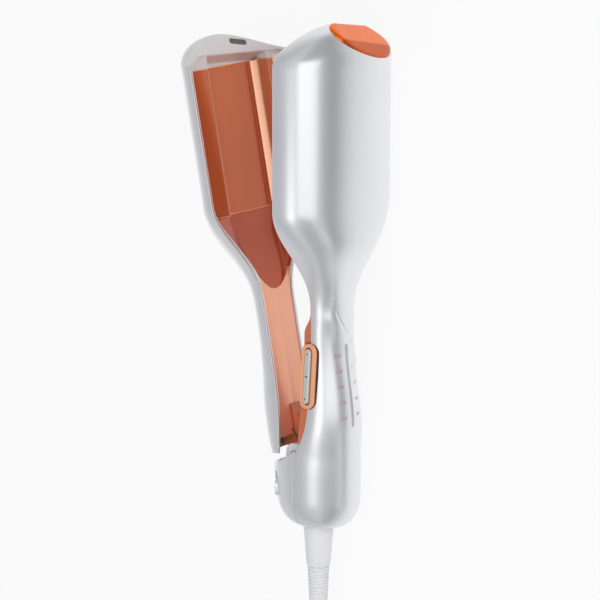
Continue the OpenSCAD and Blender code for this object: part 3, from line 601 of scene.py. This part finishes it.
def front_shell():
    """The front in one moulding: half superellipses along the handle, neck and jaw, then the
    jaw's end up to the lens' plane, raised by the neck's crease along its normals. It is cut out
    for the button and the light slot."""
    side = half(X_BODY, body_w(X_BODY), body_rim(X_BODY), body_front(X_BODY) - body_rim(X_BODY),
                body_bend(X_BODY), -1, ARC)
    to_lens = np.concatenate([np.linspace(0, 0.97, 52), [0.985, 0.995, 1.0]])[:, None]
    outer = np.concatenate([side, front_end(to_lens * LENS_Q[None, :], ARC[None, :])])
    outer = outer + normals(outer) * neck_crease(outer)[..., None]
    shell = make("front_shell_skin", *thick(outer, ease_end=0.3), SILVER, "body", "silver_shell",
                 ["front_shell"])
    cut(shell, *set_in(at_button, track_rings(39.4, 11.0, [(0, -2), (0, 12)])))
    cut(shell, *loft(np.stack([crown(*LIGHT_SLOT.T, h) for h in (-1.2, 2.0)])))
    settle(shell, "body")


def wrap_text(name, text, x0, v0, size, material):
    """Text printed on the front face: letter x runs along v and letter y along x, from 0.2 mm
    under the face to 0.09 mm over it."""
    curve = bpy.data.curves.new(name, "FONT")
    curve.body, curve.size, curve.align_x, curve.align_y = text, size, "CENTER", "CENTER"
    letters = add(name, curve)
    seen = letters.evaluated_get(bpy.context.evaluated_depsgraph_get())
    flat = bpy.data.meshes.new_from_object(seen)
    bpy.data.objects.remove(letters)
    co = np.zeros(len(flat.vertices) * 3)
    flat.vertices.foreach_get("co", co)
    across, along = co.reshape(-1, 3).T[:2]
    faces, n = [list(p.vertices) for p in flat.polygons], len(across)
    bpy.data.meshes.remove(flat)
    edges = dict.fromkeys((a, b) for f in faces for a, b in zip(f, f[1:] + f[:1]))
    walls = [[b, a, a + n, b + n] for a, b in edges if (b, a) not in edges]
    solid = faces + [[v + n for v in f[::-1]] for f in faces] + walls
    points = np.concatenate([crown(x0 + along, v0 + across, h) for h in (0.09, -0.2)])
    make(name, points, solid, material, "body", "light")


def temperature_scale():
    """The light strip in its slot, sunk 0.8 mm, with a row of numbers on each side of it."""
    x, v = LIGHT_SLOT.T
    rings = [crown(mix(SLOT_MIDDLE, x, s), v * s, h)
             for s, h in ((1, -2.4), (1, -0.95), (0.99, -0.8))]
    make("scale_light_strip", *loft(np.stack(rings)), SLOT, "body", "light", ["light_strip"])
    first, pitch = 70.6, 9.2
    scale = (("150", "300"), ("170", "340"), ("190", "375"), ("210", "410"), ("230", "445"))
    for i, (number, mark) in enumerate(scale):
        x = first + pitch * i
        wrap_text("scale_number_" + number, number, x, -6.4, 3.1, PRINT_RED)
        wrap_text("scale_mark_" + number, mark, x + 0.6, 5.3, 2.5, PRINT_GREY)


def rear_shell():
    """The handle's back: half ellipses round the bottom, then rows that end at a scooped edge,
    x = 34 + 15 (1 - y / 29.5)^1.6, highest at the handle's sides. The lock's slot is cut out."""
    x = np.array(X_BOTTOM + [20])
    low = half(x, body_w(x), 0, body_back(x), 2, 1, ARC)
    full = half(np.array([30.0]), body_w(30.0), 0, body_back(30.0), 2, 1, ARC)[0]
    scoop = 34 + 15 * (1 - np.clip(full[:, 1] / GRIP_BACK, 0, 1)) ** 1.6
    share = np.concatenate([np.linspace(0, 1, 16)[1:-1], [0.97, 0.99, 1.0]])[:, None]
    x = 20 + (scoop[None, :] - 20) * share
    high = np.stack([x, full[None, :, 1] * body_back(x) / GRIP_BACK,
                     full[None, :, 2] * body_w(x) / body_w(30.0)], -1)
    shell = make("rear_shell_skin", *thick(np.concatenate([low, high]), ease_end=0.4), SILVER,
                 "body", "silver_shell", ["rear_shell"])
    cut(shell, *set_in(at_lock, track_rings(15.4, 6.4, [(0, -2), (0, 8)]) + [2.5, 0, 0]))
    settle(shell, "body")


def liner_corners(x):
    """Corners of the liner's sections: a strip behind the shell's rim along the neck, which
    spreads with j into the ledge and the step that carry the barrel."""
    j = np.clip((body_w(x) - 17.7) / 25.7, 0, 1) * np.clip((x - 134) / 20, 0, 1)
    rim, w = body_rim(x), body_w(x)
    low = mix(1.2, rim - 1, rise(x, 119, 13))
    y = [-rim + 0.05, -low, mix(-low + 0.1, 9, j), mix(-low + 0.2, 15, j)]
    z = [w - 0.3, w - 0.9 - 0.6 * j, mix(9, 30.2, j), mix(7, 23.8, j)]
    return sections(x, np.stack(y + y[::-1], -1), np.stack(z + [-v for v in z[::-1]], -1))


def front_liner():
    """The orange body between the front shell and the arm, cut back where the arm's cap closes
    over its end."""
    radii = [0.1, 1.2, 2, 3, 3, 2, 1.2, 0.1]
    liner = make("front_liner_body", *loft(rounded(liner_corners(X_LINER), radii)), ORANGE,
                 "body", "orange_plastic", ["front_liner"])
    cut(liner, *prism([(278.7, -50), (290, -50), (290, 50), (278.7, 50)], 13.1, 20))
    settle(liner, "body")


def barrel():
    """The convex plate: y = 15.05 + 11 sin(b)^1.1, z = 21.6 cos(b)^1.1, scaled down by up to
    0.13 within 2.4 mm of its ends."""
    first, last, base = 190, 272, 15.05
    b = np.linspace(0, np.pi, 61)
    x = np.concatenate([[first, 190.15, 190.6, 191.3, 192.4], np.linspace(194, 268, 12),
                        [269.6, 270.7, 271.4, 271.85, last]])
    ends = np.minimum(x - first, last - x)
    g = (1 - 0.13 * (1 - np.minimum(ends / 2.4, 1)) ** 2.2)[:, None]
    rings = sections(x, base + 11 * spow(np.sin(b), 1.1) * g,
                     21.6 * spow(np.cos(b), 1.1) * (0.5 + 0.5 * g))
    make("barrel_skin", *loft(rings), PLATE, "body", "heating_plate", ["barrel_plate"])


def front_tip_cap():
    """Pale cap behind the dome: a shallow tray whose rim follows the dome's path 0.35 mm inside
    it, as far as the lens."""
    x, k = dome_path(np.concatenate([np.linspace(0.4, 0.6, 9), np.linspace(0.62, 0.97, 36)]))
    x, y, w = x - 0.35, -MIDDLE + (MIDDLE - RIM) * k + 0.35, (JAW_W - 0.7) * k
    side = [(0, 0, 1), (0.3, -1.2, 0.995), (-0.4, -3.6, 0.97)]
    corners = [(dx, dy, -s) for dx, dy, s in side] + side[::-1]
    rings = np.stack([np.stack([x + dx, y + dy, w * s], -1) for dx, dy, s in corners], 1)
    keep = (rings @ LENS_N).max(axis=1) < LENS_AT - 1.0
    make("front_tip_cap_skin", *loft(rings[keep]), CAP, "body", "grey_plastic", ["front_tip_cap"])


def tip_lens():
    """The lens fills the shell's slanted opening, bounded by the opening's edge and a chord. Its
    height over the opening is 2 mm up to a soft crease and falls past it, as d grows towards the
    front face, and it is rounded down by s^24 near the edge, where the scale s is 1. A dark seam
    shows round it."""
    opening = front_end(LENS_Q[None, :], ARC[None, :])[0]
    chord = mix(opening[-1][None], opening[0][None], np.linspace(0, 1, 26)[1:-1, None])
    loop = np.concatenate([opening, chord])
    middle = loop.mean(axis=0)
    up, to_front = unit(LENS_N), unit(np.array([-0.463, -0.579, 0.02]))
    seat = mix(middle[None], loop, 0.985)
    rings = [seat - up * 2.2, seat - up * 0.9]
    for s in np.concatenate([[1.0, 0.992, 0.98, 0.965, 0.945], np.linspace(0.92, 0.02, 30)]):
        p = mix(middle[None], seat, s)
        d = (p - middle) @ to_front - 5.0
        height = 2.0 - 0.09 * (d + np.sqrt(d * d + 0.5)) - 0.02 * np.abs(d) - 1.7 * s ** 24
        rings.append(p + up * height[:, None])
    lens = make("tip_lens_inlay", *loft(np.stack(rings)), LENS, "body", "orange_plastic",
                ["tip_lens"], angle=50)
    # the faces past the crease take the darker orange: painted shade on that facet
    lens.data.materials.append(LENS_SHADE)
    centres = np.zeros(len(lens.data.polygons) * 3)
    lens.data.polygons.foreach_get("center", centres)
    past_crease = (centres.reshape(-1, 3) - lay(middle)) @ turn(to_front) > 0.005
    lens.data.polygons.foreach_set("material_index", past_crease.astype(np.int32))
    seam = [mix(middle[None], loop, s) - up * d
            for s, d in ((0.999, 3), (0.995, 0.35), (0.97, 0.55), (0.94, 3))]
    make("tip_lens_seam", *loft(np.stack(seam)), LENS_SEAM, "body", "orange_plastic", angle=30)


def button():
    """The bezel round the rocker's well, and the rocker's key, dished by 0.4 mm, with a dot at
    each end and a tick in the middle, printed dark. A dark ring in the gap round the bezel and a
    dark lining in the well are painted shade."""
    bezel = [(0, -0.5), (0, 5.3), (0.12, 5.75), (0.45, 6.1), (0.9, 6.2), (1.8, 6.1), (2.25, 5.85),
             (2.47, 5.4), (2.5, 1.2), (4.6, 1.2)]
    seam = [(0.2, 0), (0.2, 4.0), (0.0, 4.3), (-0.25, 4.3), (-0.25, 0)]
    well = [(-0.02, 1.25), (-0.02, 5.3), (0.07, 5.3), (0.07, 1.4), (2.4, 1.4)]
    key = track_rings(32.7, 4.3, [(0, 2.4), (0, 6.1), (0.1, 6.5), (0.4, 6.8), (0.8, 6.95),
                                  (1.4, 6.9), (1.8, 6.85), (2.1, 6.82)])
    key[..., 2] -= np.where(key[..., 2] > 5.7, 0.4 * (1 - (key[..., 0] / 16.8) ** 2), 0)
    tick = track_rings(2.6, 0.8, [(0, 6.0), (0, 6.72), (0.2, 6.82)])[..., [1, 0, 2]]
    make("button_bezel_ring", *set_in(at_button, track_rings(39.0, 10.6, bezel)), BEZEL, "body",
         "orange_plastic", ["button_bezel"])
    # dark ring in the gap round the bezel, and dark lining in the rocker's well: painted shade
    make("button_seam", *set_in(at_button, track_rings(39.5, 11.1, seam)), SHADE_AND_PRINT, "body",
         "orange_plastic")
    make("rocker_well", *set_in(at_button, track_rings(34.0, 5.6, well)), SHADE_AND_PRINT, "body",
         "orange_plastic")
    make("rocker_key", *set_in(at_button, key), ROCKER, "rocker", "grey_plastic",
         ["rocker_button"])
    # dots and tick: dark print on the key
    for i, x in enumerate((-13.4, 13.4)):
        dot = track_rings(1.0, 0.999, [(0, 6.0), (0, 6.85), (0.2, 6.9)]) + [x, 0, -0.1]
        make("rocker_dot_%d" % i, *set_in(at_button, dot), SHADE_AND_PRINT, "rocker", "grey_plastic")
    make("rocker_tick", *set_in(at_button, tick), SHADE_AND_PRINT, "rocker", "grey_plastic")


# ---- arm ----
X_ARM = np.concatenate([[46, 46.3, 47, 48, 49.5], np.arange(51, 277, 2.3), [277.6, ARM_END]])
X_TRAY = np.concatenate([np.arange(54, 136, 3.0), np.arange(136, 188, 1.0), [187.95]])
X_PLATE = np.array([188.0, 188.4, 200, 215, 230, 245, 260, 274.6, 275.0])
CHANNEL_W, CHANNEL_DEPTH, LEDGE = 25.4, 10.0, 17.5
SLOT_X, SLOT_LEAN = 287.4, 10.8  # the tip cap's slot: its middle, and its lean in degrees
PLATE_RADII = [0.1, 0.8, 1.2, 1.2, 1.2, 1.2, 0.8, 0.1] * 2


def arm_shell():
    """The arm's back: half superellipses along it."""
    outer = half(X_ARM, arm_w(X_ARM), ARM_RIM, arm_depth(X_ARM), ARM_BEND, 1, ARC)
    make("arm_shell_skin", *thick(outer, 6, 0.2), SILVER, "arm", "silver_shell", ["arm_shell"],
         arm=True)


def tray_corners(x):
    """Corners of the arm liner's sections: a flat tray along the neck, in which the channel opens
    from x = 141 by a power of 0.55 and deepens from x = 139 to meet the plate."""
    w = arm_w(x) - 2.1
    h = np.minimum(mix(1.0, CHANNEL_W, np.clip((x - 141) / 43, 0, 1) ** 0.55), w - 1.2)
    d = CHANNEL_DEPTH * rise(x, 139, 38)
    ledge = mix(14.8, LEDGE, rise(x, 142, 40))
    f = h / CHANNEL_W
    y = [np.full_like(x, 14.3), ledge, ledge + d * 0.85 + 0.02, ledge + d + 0.04]
    z = [w - 0.2, h, h - 3.4 * f, h - 8 * f]
    under_z = [v + out for v, out in zip(z, (-0.2, 0.5, 0.5, 0.5))]
    y = y + y[::-1]
    return sections(x, np.stack([v + 1.5 for v in y] + y, -1),
                    np.stack(under_z + [-v for v in under_z[::-1]] + [-v for v in z] + z[::-1], -1))


def arm_liner():
    """The liner along the arm's neck. The faces of the channel's floor, and further up also those
    of its walls, have a darker orange finish: painted shade in the channel."""
    under, over = [0.1, 1.2, 2, 4, 4, 2, 1.2, 0.1], [0.1, 1.0, 2, 4, 4, 2, 1.0, 0.1]
    tray = make("arm_liner_tray", *loft(rounded(tray_corners(X_TRAY), under + over, 5)), PEACH,
                "arm", "peach_plastic", ["arm_liner"], arm=True)
    # the channel's floor and walls take the darker orange: painted shade
    tray.data.materials.append(LINER_SHADE)
    second_finish(tray, np.nonzero(X_TRAY[:-1] >= 141)[0], 96, range(57, 87))
    second_finish(tray, np.nonzero(X_TRAY[:-1] >= 152)[0], 96, range(49, 95))


def plate_outlines(x):
    """The channel plate's sections: a ledge, a wall that leans in, a slope and a floor, with the
    same 1.5 mm further down for the underside."""
    def side(t):
        y, w, d = LEDGE + t, CHANNEL_W + 0.8 * t, CHANNEL_DEPTH
        return [(y, 39.4), (y, w), (y + 0.56 * d, w - 2.6), (y + d, w - 6.3)]
    top, under = side(0.0), side(1.5)
    top += [(y, -z) for y, z in top[::-1]]
    y, z = np.array(top + [(y, -z) for y, z in under] + under[::-1]).T
    return rounded(sections(x, y, z), PLATE_RADII, 6)


def channel_plate():
    """The concave plate, with the bends between its walls and its slopes in a lighter, glossier
    salmon: a painted highlight.
    """
    plate = make("channel_plate_skin", *loft(plate_outlines(X_PLATE)), PLATE, "arm",
                 "heating_plate", ["channel_plate"], arm=True)
    plate.data.materials.append(PAINTED_HIGHLIGHT)
    # the bends between the walls and the slopes take the painted highlight
    second_finish(plate, range(len(X_PLATE) - 1), 112, [*range(18, 23), *range(32, 37)])


def bead(name, path, r=0.32, material=PAINTED_HIGHLIGHT, slot="heating_plate"):
    """A round tube of radius r along the path, on the arm, by default in the lighter salmon of a
    painted highlight.
    """
    t = unit(np.gradient(path, axis=0))
    side = unit(np.cross(t, np.array([0.37, 0.61, 0.7])))
    over = np.cross(side, t)
    g = np.linspace(0, 2 * np.pi, 10, endpoint=False)[None, :, None]
    rings = path[:, None] + r * (np.cos(g) * side[:, None] + np.sin(g) * over[:, None])
    make(name, *loft(rings), material, "arm", slot, arm=True)


def channel_beads():
    """Beads along the plate's two ledges, the shell's two rims and the plate's two ends. The last
    follow the upper half of the plate's outline. The ledge and end beads are lighter salmon,
    painted highlights; the rim beads are silver."""
    for i, z in enumerate((25.15, -25.15)):
        path = np.column_stack([np.linspace(188.4, 274.7, 12), np.full(12, 17.62), np.full(12, z)])
        bead("channel_edge_highlight_bead_%d" % i, path)
    x = np.linspace(146, 276, 60)
    for i, side in enumerate((1, -1)):
        path = np.column_stack([x, mix(14.0, 16.7, rise(x, 178, 12)), side * (arm_w(x) - 2.75)])
        bead("channel_rim_bead_%d" % i, path, 0.5, SILVER, "silver_shell")
    outline = plate_outlines([0.0])[0]
    outline = outline[np.argsort(outline[:, 2])]
    half_z, half_y = [39.4, 25.8, 23.2, 19.4], [18.25, 18.25, 23.85, 28.25]  # inside the wall
    middle = np.interp(outline[:, 2], [-z for z in half_z] + half_z[::-1], half_y + half_y[::-1])
    for i, x in enumerate((188.3, 274.8)):
        bead("channel_end_highlight_bead_%d" % i, outline[outline[:, 1] < middle] * [0, 1, 1] + [x, 0, 0])


def cap_slot(length, width):
    """The outline of the cap's slot, as x and z: a racetrack that leans as the cap's end does."""
    z, x = spin(*track(length, width).T, SLOT_LEAN)
    return np.stack([SLOT_X + x, z], -1)


def arm_tip_cap():
    """A dome that draws in towards a level of 16 mm and stands higher towards the button's side,
    x = 278 + (13 + 0.26 z) f(k), with k the scale of the section and f = (1 - k^1.8)^(1/1.8).
    Its pocket, the slope to the channel's floor and the slot are cut out, and a dark grey piece at
    the slot's floor is painted shade."""
    q = np.linspace(0, np.pi / 2, 30)[:, None]
    k, f = np.abs(np.cos(q)) ** (2 / 1.8), np.abs(np.sin(q)) ** (2 / 1.8)
    k[-1] = 0.02
    w, depth = arm_w(ARM_END), arm_depth(ARM_END)
    section = half(np.array([ARM_END]), w, ARM_RIM, depth, ARM_BEND, 1, ARC)[0]
    z = section[None, :, 2] * k
    dome = np.stack([278.05 + (13 + 0.26 * z) * f, mix(16.0, section[None, :, 1], k), z], -1)
    inside = half(np.array([275.05, 278.05]), w - 2.1, ARM_RIM, depth - 2.1, ARM_BEND, 1, ARC)
    cap = make("arm_tip_cap_skin", *loft(np.concatenate([inside, dome])), CAP, "arm",
               "grey_plastic", ["arm_tip_cap"], arm=True)
    r, corner, turned = 9.8, 31.2, 93.2
    near, far = np.radians(np.linspace(0, turned, 14)), np.radians(np.linspace(turned, 180, 13))
    near = np.stack([273 + r * np.sin(near), corner + r * np.cos(near)], -1)
    far = np.stack([269.5 + r * np.sin(far), -corner + r * np.cos(far)], -1)
    pocket = np.concatenate([[[260, 41.0]], near, far, [[260, -41.0]]])
    cut(cap, *prism(pocket, 8.5, 17.5), arm=True)
    slope = [[(260, 16.5, z), (281.1 + d, 16.5, z), (280.7 + d, 17.5, z), (276.4 + d, 27.5, z),
              (260, 27.5, z)] for z, d in ((-24.4, -1.25), (24.4, 1.25))]
    cut(cap, *loft(np.array(slope)), arm=True)
    cut(cap, *prism(cap_slot(14.4, 3.2), 11.0, 15.7), arm=True)
    settle(cap, "arm", angle=30)
    # dark grey piece at the slot's floor: painted shade
    make("arm_tip_slot_shade", *prism(cap_slot(14.1, 2.9), 15.0, 15.9), SLOT_SHADE, "arm",
         "grey_plastic", arm=True)


# ---- handle ----
def lock_slider():
    """The lock's pad, flush with the shell but for three ribs across it."""
    pad = track_rings(9.8, 5.8, [(0, -2.0), (0, 2.45), (0.12, 2.7), (0.4, 2.8)])
    make("lock_slider_pad", *set_in(at_lock, pad), SILVER, "lock", "grey_plastic",
         ["lock_slider"])
    rib = track_rings(4.4, 0.7, [(0, 2.6), (0, 2.95), (0.12, 3.1)])[..., [1, 0, 2]]
    for i in range(3):
        make("lock_slider_rib_%d" % i, *set_in(at_lock, rib + [2 * i - 2, 0, 0]), SILVER, "lock",
             "grey_plastic")


def handle_seams():
    """A dark strip sunk in the groove where the front and rear shells meet, on each side of the
    handle: painted shade.
    """
    x = np.linspace(3, 46, 30)
    y, sunk = np.array([(-0.55, 0.42), (0.55, 0.42), (0.55, 1.5), (-0.55, 1.5)]).T
    for i, side in enumerate((-1, 1)):
        rings = sections(x, y, side * (body_w(x)[:, None] - sunk))
        make("handle_seam_%d" % i, *loft(rings), SHADE_AND_PRINT, "body", "dark_plastic")


BOOT_LENGTH, RIBS = 65.0, 17


def swivel_boot():
    """The boot and its ribbed strain relief: a collar and a taper, then ribs 2.1 mm apart that
    get smaller by 0.1 mm each, turned round the cord's axis."""
    profile = [(13.2, 0.01), (13.2, 7), (-0.8, 7), (-0.8, 8.4), (-1.1, 8.8), (-1.6, 9.0),
               (-10, 8.35), (-20, 7.6), (-25.6, 7.2), (-26.6, 6.9), (-27.1, 6.3), (-27.3, 5.5)]
    for i in range(RIBS):
        x, r, core = -28.4 - 2.1 * i, 6.5 - 0.1 * i, 5.4 - 0.09 * i
        profile += [(x + 0.72, core), (x + 0.62, r - 0.2), (x + 0.42, r), (x - 0.42, r),
                    (x - 0.62, r - 0.2), (x - 0.72, core)]
    profile += [(-64.6, 3.9), (-BOOT_LENGTH, 3.5), (-BOOT_LENGTH, 3.06), (-60, 3.06), (-60, 0.01)]
    make("strain_relief_boot", *loft(revolve(profile)), RUBBER, "boot", "cord", ["strain_relief"])


# ---- cord, in millimetres on the table ----
CORD_R, PITCH, TURNS, LAYERS, COIL_R = 3.0, 6.6, 2, 4, 40.0
BOOT_END = lay([-BOOT_LENGTH, 0, 0]) * 1000
BOOT_DIR = unit(lay([-BOOT_LENGTH, 0, 0]) - lay([0, 0, 0]))
COIL_MID = np.array([-253.0, BOOT_END[1] + COIL_R])
PLUG = np.array([-316.0, 30.0, 7.0])


def smooth(p, n):
    """Smooth curve through points: a cubic between each two with the slopes of their
    neighbours."""
    p = np.asarray(p, float)
    m = np.gradient(p, axis=0)
    t = (np.arange(n) / n)[None, :, None]
    a, b, ma, mb = p[:-1, None], p[1:, None], m[:-1, None], m[1:, None]
    c = ((2 * t ** 3 - 3 * t ** 2 + 1) * a + (t ** 3 - 2 * t ** 2 + t) * ma
         + (3 * t ** 2 - 2 * t ** 3) * b + (t ** 3 - t ** 2) * mb)
    return np.concatenate([c.reshape(-1, 3), p[-1:]])


def coil(t):
    """A spiral wound in and out again in each two turns, one layer higher each time, which climbs
    in the half turn where it reverses."""
    m = t % (2 * TURNS)
    r = COIL_R - PITCH * np.where(m <= TURNS, m, 2 * TURNS - m)
    n = t / TURNS
    fold = np.round(n)
    outermost = (fold == 0) | (fold == LAYERS)
    climb = fold - 1 + ease((t - fold * TURNS) * 2 + 0.5)
    layer = np.where(outermost, np.floor(np.minimum(n, LAYERS - 0.001)), climb)
    a = np.radians(-90 - 360 * t)
    return np.stack([COIL_MID[0] + r * np.cos(a), COIL_MID[1] + r * np.sin(a),
                     CORD_R + PITCH * layer], -1)


def cord_route():
    """Out of the boot and down to the table, round the coil, and off its top to the plug."""
    y, top = BOOT_END[1], CORD_R + PITCH * (LAYERS - 1)
    lead = [BOOT_END, BOOT_END + BOOT_DIR * 2 * CORD_R, [-205, y, 8], [-220, y, 5],
            [-234, y, 3.3], [-241, y, CORD_R], [-247, y, CORD_R]]
    loops = coil(np.arange(0, TURNS * LAYERS + 1e-9, 1 / 36)[:-1])
    tail = [[COIL_MID[0], y, top], [COIL_MID[0] - 6, y, top], [-276, -25, 21], [-294, -17, 14],
            [-307, -3, 8.4], [-314, 14, 7], [-316, 22, 7], PLUG]
    return np.concatenate([smooth(lead, 4)[:-1], loops, smooth(tail, 5)])


def tube(path, r, sides=14):
    """A round tube along the path: rings square to it, each with one diameter level."""
    t = unit(np.gradient(path, axis=0))
    a = unit(np.cross(t, [0.0, 0.0, 1.0]))[:, None]
    b = np.cross(a, t[:, None])
    g = np.linspace(0, 2 * np.pi, sides, endpoint=False)[None, :, None]
    return path[:, None] + r * (np.cos(g) * a + np.sin(g) * b)


def at_plug(p):
    """Plug frame to the table, in metres: its long axis turns to the table's y axis."""
    return np.stack([PLUG[0] - p[..., 1], PLUG[1] + p[..., 0], PLUG[2] + p[..., 2]], -1) / 1000


def plug_pieces():
    """The plug: a rounded outline drawn in above and below, a ribbed strain relief, two pins."""
    half_x, half_y = [10, 14, 20, 24, 36], [8, 10.5, 15.4, 17.5, 17.5]
    corners = sections([0.0], half_x + half_x[::-1], half_y + [-v for v in half_y[::-1]])
    radii = [1, 3, 5, 4, 1.5]
    outline = rounded(corners[..., [1, 2, 0]], radii + radii[::-1], 5)[0]
    centre = np.array([24.0, 0, 0])
    above = [(1, 4), (0.98, 5.6), (0.93, 6.7), (0.86, 7)]
    rings = [centre + (outline - centre) * s + [0, 0, z]
             for s, z in [(s, -z) for s, z in above[::-1]] + above]
    moulding = make("plug_moulding", *set_in(at_plug, np.stack(rings)), RUBBER, "body", "cord",
                    ["plug_body"], raw=True)
    neck = [(0, 3.05), (0.2, 4.0)]
    for i in range(5):
        x, r = 1.6 * i, 0.3 * i
        neck += [(1.2 + x, 4.2 + r), (1.9 + x, 4.3 + r), (2.1 + x, 3.9 + r), (2.6 + x, 3.9 + r)]
    neck += [(11.5, 6.2), (12.5, 6.0)]
    relief = make("plug_strain_relief", *set_in(at_plug, revolve(neck, 28)), RUBBER, "body",
                  "cord", raw=True)
    pin = revolve([(36.05, 0.01), (36.05, 2.0), (53.2, 2.0), (54.3, 1.7), (54.9, 1.1),
                   (55.05, 0.01)], 28)
    pins = [make("plug_pin_%d" % i, *set_in(at_plug, pin + [0, y, 0]), BRASS, "body", "brass",
                 replaces, raw=True)
            for i, (y, replaces) in enumerate(((-9.3, ["plug_pins"]), (9.3, ())))]
    return [moulding, relief] + pins


def power_cord():
    """The free cord, as a tube along its route, with the plug at its end."""
    route = cord_route()
    cord = make("power_cord", *loft(tube(route / 1000, CORD_R / 1000)), RUBBER, "body", "cord",
                ["cord_lead", "cord_coil", "cord_tail"], raw=True)
    plug_pieces()


# ---- floor, light ----
def math_node(t, kind, *values):
    """A math node of the given kind on sockets or plain numbers."""
    n = node(t, "ShaderNodeMath", operation=kind)
    for i, v in enumerate(values):
        if isinstance(v, (int, float)):
            n.inputs[i].default_value = v
        else:
            t.links.new(v, n.inputs[i])
    return n.outputs[0]


def blend(t, share, first, second):
    """A mix of two shaders, by the second's share."""
    n = node(t, "ShaderNodeMixShader")
    for i, v in enumerate((share, first, second)):
        t.links.new(v, n.inputs[i])
    return n.outputs[0]


def white_floor(name):
    """Pale floor that the camera sees as white, with a trace of the object's shadow. Gloss sees it
    white close to the waver and, in front of the jaw, greyer further out."""
    m = bpy.data.materials.new(name)
    m.use_nodes = True
    t = m.node_tree
    t.nodes.clear()
    path = node(t, "ShaderNodeLightPath")
    place = node(t, "ShaderNodeSeparateXYZ",
                 Vector=node(t, "ShaderNodeTexCoord").outputs["Object"])
    near = node(t, "ShaderNodeMapRange", interpolation_type="SMOOTHSTEP",
                Value=place.outputs["Y"], From_Min=-0.24, From_Max=-0.05, To_Min=0.14, To_Max=1.0)
    jaw = node(t, "ShaderNodeMapRange", interpolation_type="SMOOTHSTEP",
               Value=place.outputs["X"], From_Min=-0.26, From_Max=-0.1)
    level = node(t, "ShaderNodeMix", data_type="FLOAT", Factor=jaw.outputs["Result"], A=0.58,
                 B=near.outputs["Result"])
    soft = node(t, "ShaderNodeBsdfDiffuse", Color=(0.82, 0.82, 0.82, 1))
    glow = node(t, "ShaderNodeEmission", Color=(1, 1, 1, 1), Strength=1.0)
    gloss = node(t, "ShaderNodeEmission", Strength=level.outputs["Result"])
    white = math_node(t, "MULTIPLY", path.outputs["Is Camera Ray"], 0.9)
    seen = blend(t, white, soft.outputs[0], glow.outputs[0])
    seen = blend(t, path.outputs["Is Glossy Ray"], seen, gloss.outputs[0])
    node(t, "ShaderNodeOutputMaterial", Surface=seen)
    return m


def lay_floor():
    """A level square of 12 m, half a millimetre under the waver."""
    square = np.array([(-6, -6, -0.0005), (6, -6, -0.0005), (6, 6, -0.0005), (-6, 6, -0.0005)])
    floor = add("floor", surface("floor", square, [(0, 1, 2, 3)]))
    floor.data.materials.append(white_floor("white_floor"))


def softbox(name, aim, around, reach, size, size_y, power):
    """A rectangular lamp that faces aim from a distance of reach, at around degrees about the x
    axis: 0 is the front and 90 is overhead. Its size is along x and size_y across."""
    data = bpy.data.lights.new(name, "AREA")
    data.shape, data.size, data.size_y, data.energy = "RECTANGLE", size, size_y, power
    lamp = add(name, data)
    a = math.radians(around)
    x, z = np.array([1.0, 0, 0]), np.array([0, -math.cos(a), math.sin(a)])
    lamp.matrix_world = stand(x, np.cross(z, x), z, np.asarray(aim) + z * reach)
    lamp.visible_camera = False
    return lamp


# Brightness of the studio round the x axis, in degrees from the front
AROUND = [(0, 0.26), (12, 0.28), (40, 0.28), (56, 0.44), (70, 0.6), (88, 0.58), (104, 0.48),
          (130, 0.38), (175, 0.7), (200, 0.8), (300, 0.7), (345, 0.3)]


def studio():
    """Soft studio that darkens towards the front. Lamps stand before and over the jaws, over the
    neck, over the handle and before the handle; the fifth fills in and isn't seen in gloss."""
    world = bpy.data.worlds.new("studio")
    bpy.context.scene.world = world
    world.use_nodes = True
    t = world.node_tree
    place = node(t, "ShaderNodeSeparateXYZ",
                 Vector=node(t, "ShaderNodeTexCoord").outputs["Generated"])
    front = math_node(t, "MULTIPLY", place.outputs["Y"], -1.0)
    angle = math_node(t, "ARCTAN2", place.outputs["Z"], front)
    turns = math_node(t, "FRACT", math_node(t, "DIVIDE", angle, 2 * math.pi))
    ramp = node(t, "ShaderNodeValToRGB", Fac=turns)
    keys = ramp.color_ramp.elements
    while len(keys) < len(AROUND):
        keys.new(0.5)
    for key, (degrees, v) in zip(keys, AROUND):
        key.position, key.color = degrees / 360, (v, v, v * 1.015, 1)
    put(t.nodes["Background"], Color=ramp.outputs["Color"], Strength=1.0)
    softbox("jaw_lamp", (0.14, 0, 0.05), 34, 0.62, 0.6, 0.54, 1.0)
    softbox("neck_lamp", (-0.17, 0, 0.05), 76, 0.6, 0.16, 0.27, 0.16)
    softbox("handle_lamp", (-0.34, 0, 0.04), 80, 0.6, 0.26, 0.24, 0.11)
    softbox("front_lamp", (-0.36, 0, 0.05), 0, 0.7, 0.26, 0.3, 0.08)
    fill = softbox("fill_lamp", (0.08, 0, 0.03), 48, 1.2, 0.9, 0.9, 2.9)
    fill.visible_glossy = False


front_shell()
temperature_scale()
rear_shell()
front_liner()
barrel()
front_tip_cap()
tip_lens()
button()
arm_shell()
arm_liner()
channel_plate()
channel_beads()
arm_tip_cap()
lock_slider()
handle_seams()
swivel_boot()
power_cord()
lay_floor()
studio()
bpy.context.scene.view_settings.view_transform = "Standard"
